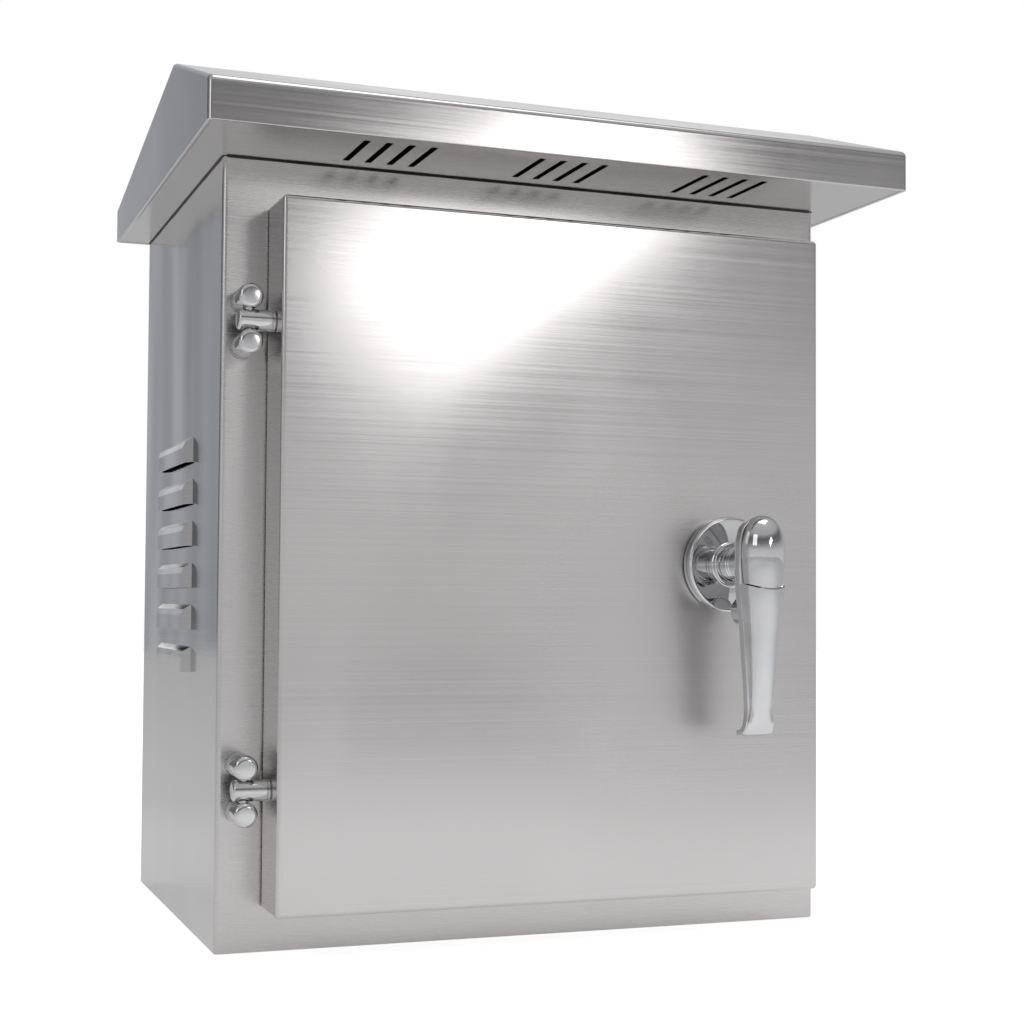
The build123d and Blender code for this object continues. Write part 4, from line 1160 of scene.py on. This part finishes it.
class CABINET_OT_stage(bpy.types.Operator):
    """Makes the floor, the lights, the white background and the camera"""

    bl_idname = "utility_cabinet.stage"
    bl_label = "Studio"

    def execute(self, context):
        settings = context.scene.utility_cabinet
        studio_floor(context.scene, tuple(settings.floor_tone))
        context.scene.world = grey_studio()
        for lamp in LAMPS:
            soft_lamp(context.scene, *lamp)
        context.scene.camera = photo_camera(context.scene)
        context.scene.view_settings.view_transform = "Standard"
        return {"FINISHED"}


def studio_floor(scene, tone):
    """Level square floor just under the cabinet."""
    floor = bpy.data.meshes.new("studio_floor")
    half, level = FLOOR_HALF, FLOOR_LEVEL
    corners = [(-half, -half, level), (half, -half, level), (half, half, level), (-half, half, level)]
    floor.from_pydata(corners, [], [(0, 1, 2, 3)])
    holder = bpy.data.objects.new("studio_floor", floor)
    scene.collection.objects.link(holder)
    floor.materials.append(pale_floor(tone))


def mixed_tones(tree, share, first, second):
    """Two colours mixed by a share, where the second may be a plain colour."""
    mix = tree.nodes.new("ShaderNodeMix")
    mix.data_type = "RGBA"
    if isinstance(second, tuple):
        mix.inputs["B"].default_value = second
    else:
        tree.links.new(second, mix.inputs["B"])
    tree.links.new(share, mix.inputs["Factor"])
    tree.links.new(first, mix.inputs["A"])
    return mix.outputs["Result"]


def grey_studio():
    """World that the camera and glass see as white. Metal sees white too where the
    backdrop lies behind the object, and elsewhere the greys of a studio's walls."""
    world = bpy.data.worlds.new("studio")
    world.use_nodes = True
    tree = world.node_tree
    direction = tree.nodes.new("ShaderNodeTexCoord").outputs["Generated"]
    apart = tree.nodes.new("ShaderNodeSeparateXYZ")
    tree.links.new(direction, apart.inputs["Vector"])
    before = eased_tones(tree, apart.outputs["Z"], BEFORE_TONES)
    sideways = ranged(tree, apart.outputs["X"], -0.26, -0.14, 0.0, 1.0)
    behind = eased_tones(tree, sideways, BEHIND_TONES)
    walls = mixed_tones(tree, smoothed(tree, apart.outputs["Y"], -0.2, 0.7), before, behind)
    towards = tree.nodes.new("ShaderNodeVectorMath")
    towards.operation = "DOT_PRODUCT"
    towards.inputs[1].default_value = BACKDROP_WAY
    tree.links.new(direction, towards.inputs[0])
    path = tree.nodes.new("ShaderNodeLightPath")
    seen = combined(tree, "MAXIMUM", path.outputs["Is Camera Ray"], path.outputs["Is Transmission Ray"])
    backdrop = smoothed(tree, towards.outputs["Value"], 0.86, 0.96)
    mirrored = combined(tree, "MULTIPLY", backdrop, path.outputs["Is Glossy Ray"])
    white = combined(tree, "MAXIMUM", seen, mirrored)
    shown = mixed_tones(tree, white, walls, (1.0, 1.0, 1.0, 1.0))
    tree.links.new(shown, tree.nodes["Background"].inputs["Color"])
    return world


def soft_lamp(scene, name, place, target, width, height, spin, power):
    """Rectangular softbox that points at a target, spun about its own direction."""
    light = bpy.data.lights.new(name, "AREA")
    light.shape = "RECTANGLE"
    light.size = width
    light.size_y = height
    light.energy = power
    holder = bpy.data.objects.new(name, light)
    aim = (Vector(target) - Vector(place)).to_track_quat("-Z", "Y").to_matrix().to_4x4()
    spun = Matrix.Rotation(math.radians(spin), 4, "Z")
    holder.matrix_world = Matrix.Translation(place) @ aim @ spun
    scene.collection.objects.link(holder)


def photo_camera(scene):
    """Camera at the place, turn and lens that were fitted to the photograph."""
    yaw, pitch, roll = (math.radians(angle) for angle in (CAMERA_YAW, CAMERA_PITCH, CAMERA_ROLL))
    ahead = (math.sin(yaw) * math.cos(pitch), math.cos(yaw) * math.cos(pitch), math.sin(pitch))
    forward = Vector(ahead)
    level = forward.cross(Vector(UP)).normalized()
    upright = level.cross(forward)
    right = math.cos(roll) * level + math.sin(roll) * upright
    up = math.cos(roll) * upright - math.sin(roll) * level
    turn = Matrix((right, up, -forward)).transposed().to_4x4()
    camera = bpy.data.cameras.new("photo_camera")
    camera.sensor_width = SENSOR
    camera.lens = SENSOR * FOCAL_LENGTH / PICTURE_SIDE
    camera.shift_x = (PICTURE_SIDE / 2.0 - AXIS_ACROSS) / PICTURE_SIDE
    camera.shift_y = (AXIS_DOWN - PICTURE_SIDE / 2.0) / PICTURE_SIDE
    camera.clip_start = 0.01
    holder = bpy.data.objects.new("photo_camera", camera)
    holder.matrix_world = Matrix.Translation(CAMERA_PLACE) @ turn
    scene.collection.objects.link(holder)
    return holder


class CABINET_PT_sidebar(bpy.types.Panel):
    """Cabinet tools in the sidebar of the 3D view"""

    bl_idname = "CABINET_PT_sidebar"
    bl_label = "Utility cabinet"
    bl_space_type = "VIEW_3D"
    bl_region_type = "UI"
    bl_category = "Cabinet"

    def draw(self, context):
        settings = context.scene.utility_cabinet
        for name in ("steel_tone", "steel_roughness", "chrome_tone", "floor_tone"):
            self.layout.prop(settings, name)
        for operator in OPERATORS:
            self.layout.operator(operator.bl_idname)


OPERATORS = (
    CABINET_OT_body,
    CABINET_OT_hood,
    CABINET_OT_door,
    CABINET_OT_hinges,
    CABINET_OT_handle,
    CABINET_OT_fixings,
    CABINET_OT_stage,
)
CLASSES = (CabinetSettings, *OPERATORS, CABINET_PT_sidebar)


def register():
    for item in CLASSES:
        bpy.utils.register_class(item)
    bpy.types.Scene.utility_cabinet = bpy.props.PointerProperty(type=CabinetSettings)


def unregister():
    del bpy.types.Scene.utility_cabinet
    for item in reversed(CLASSES):
        bpy.utils.unregister_class(item)


def main():
    register()
    bpy.ops.utility_cabinet.body()
    bpy.ops.utility_cabinet.hood()
    bpy.ops.utility_cabinet.door()
    bpy.ops.utility_cabinet.hinges()
    bpy.ops.utility_cabinet.handle()
    bpy.ops.utility_cabinet.fixings()
    bpy.ops.utility_cabinet.stage()


if __name__ == "__main__":
    main()
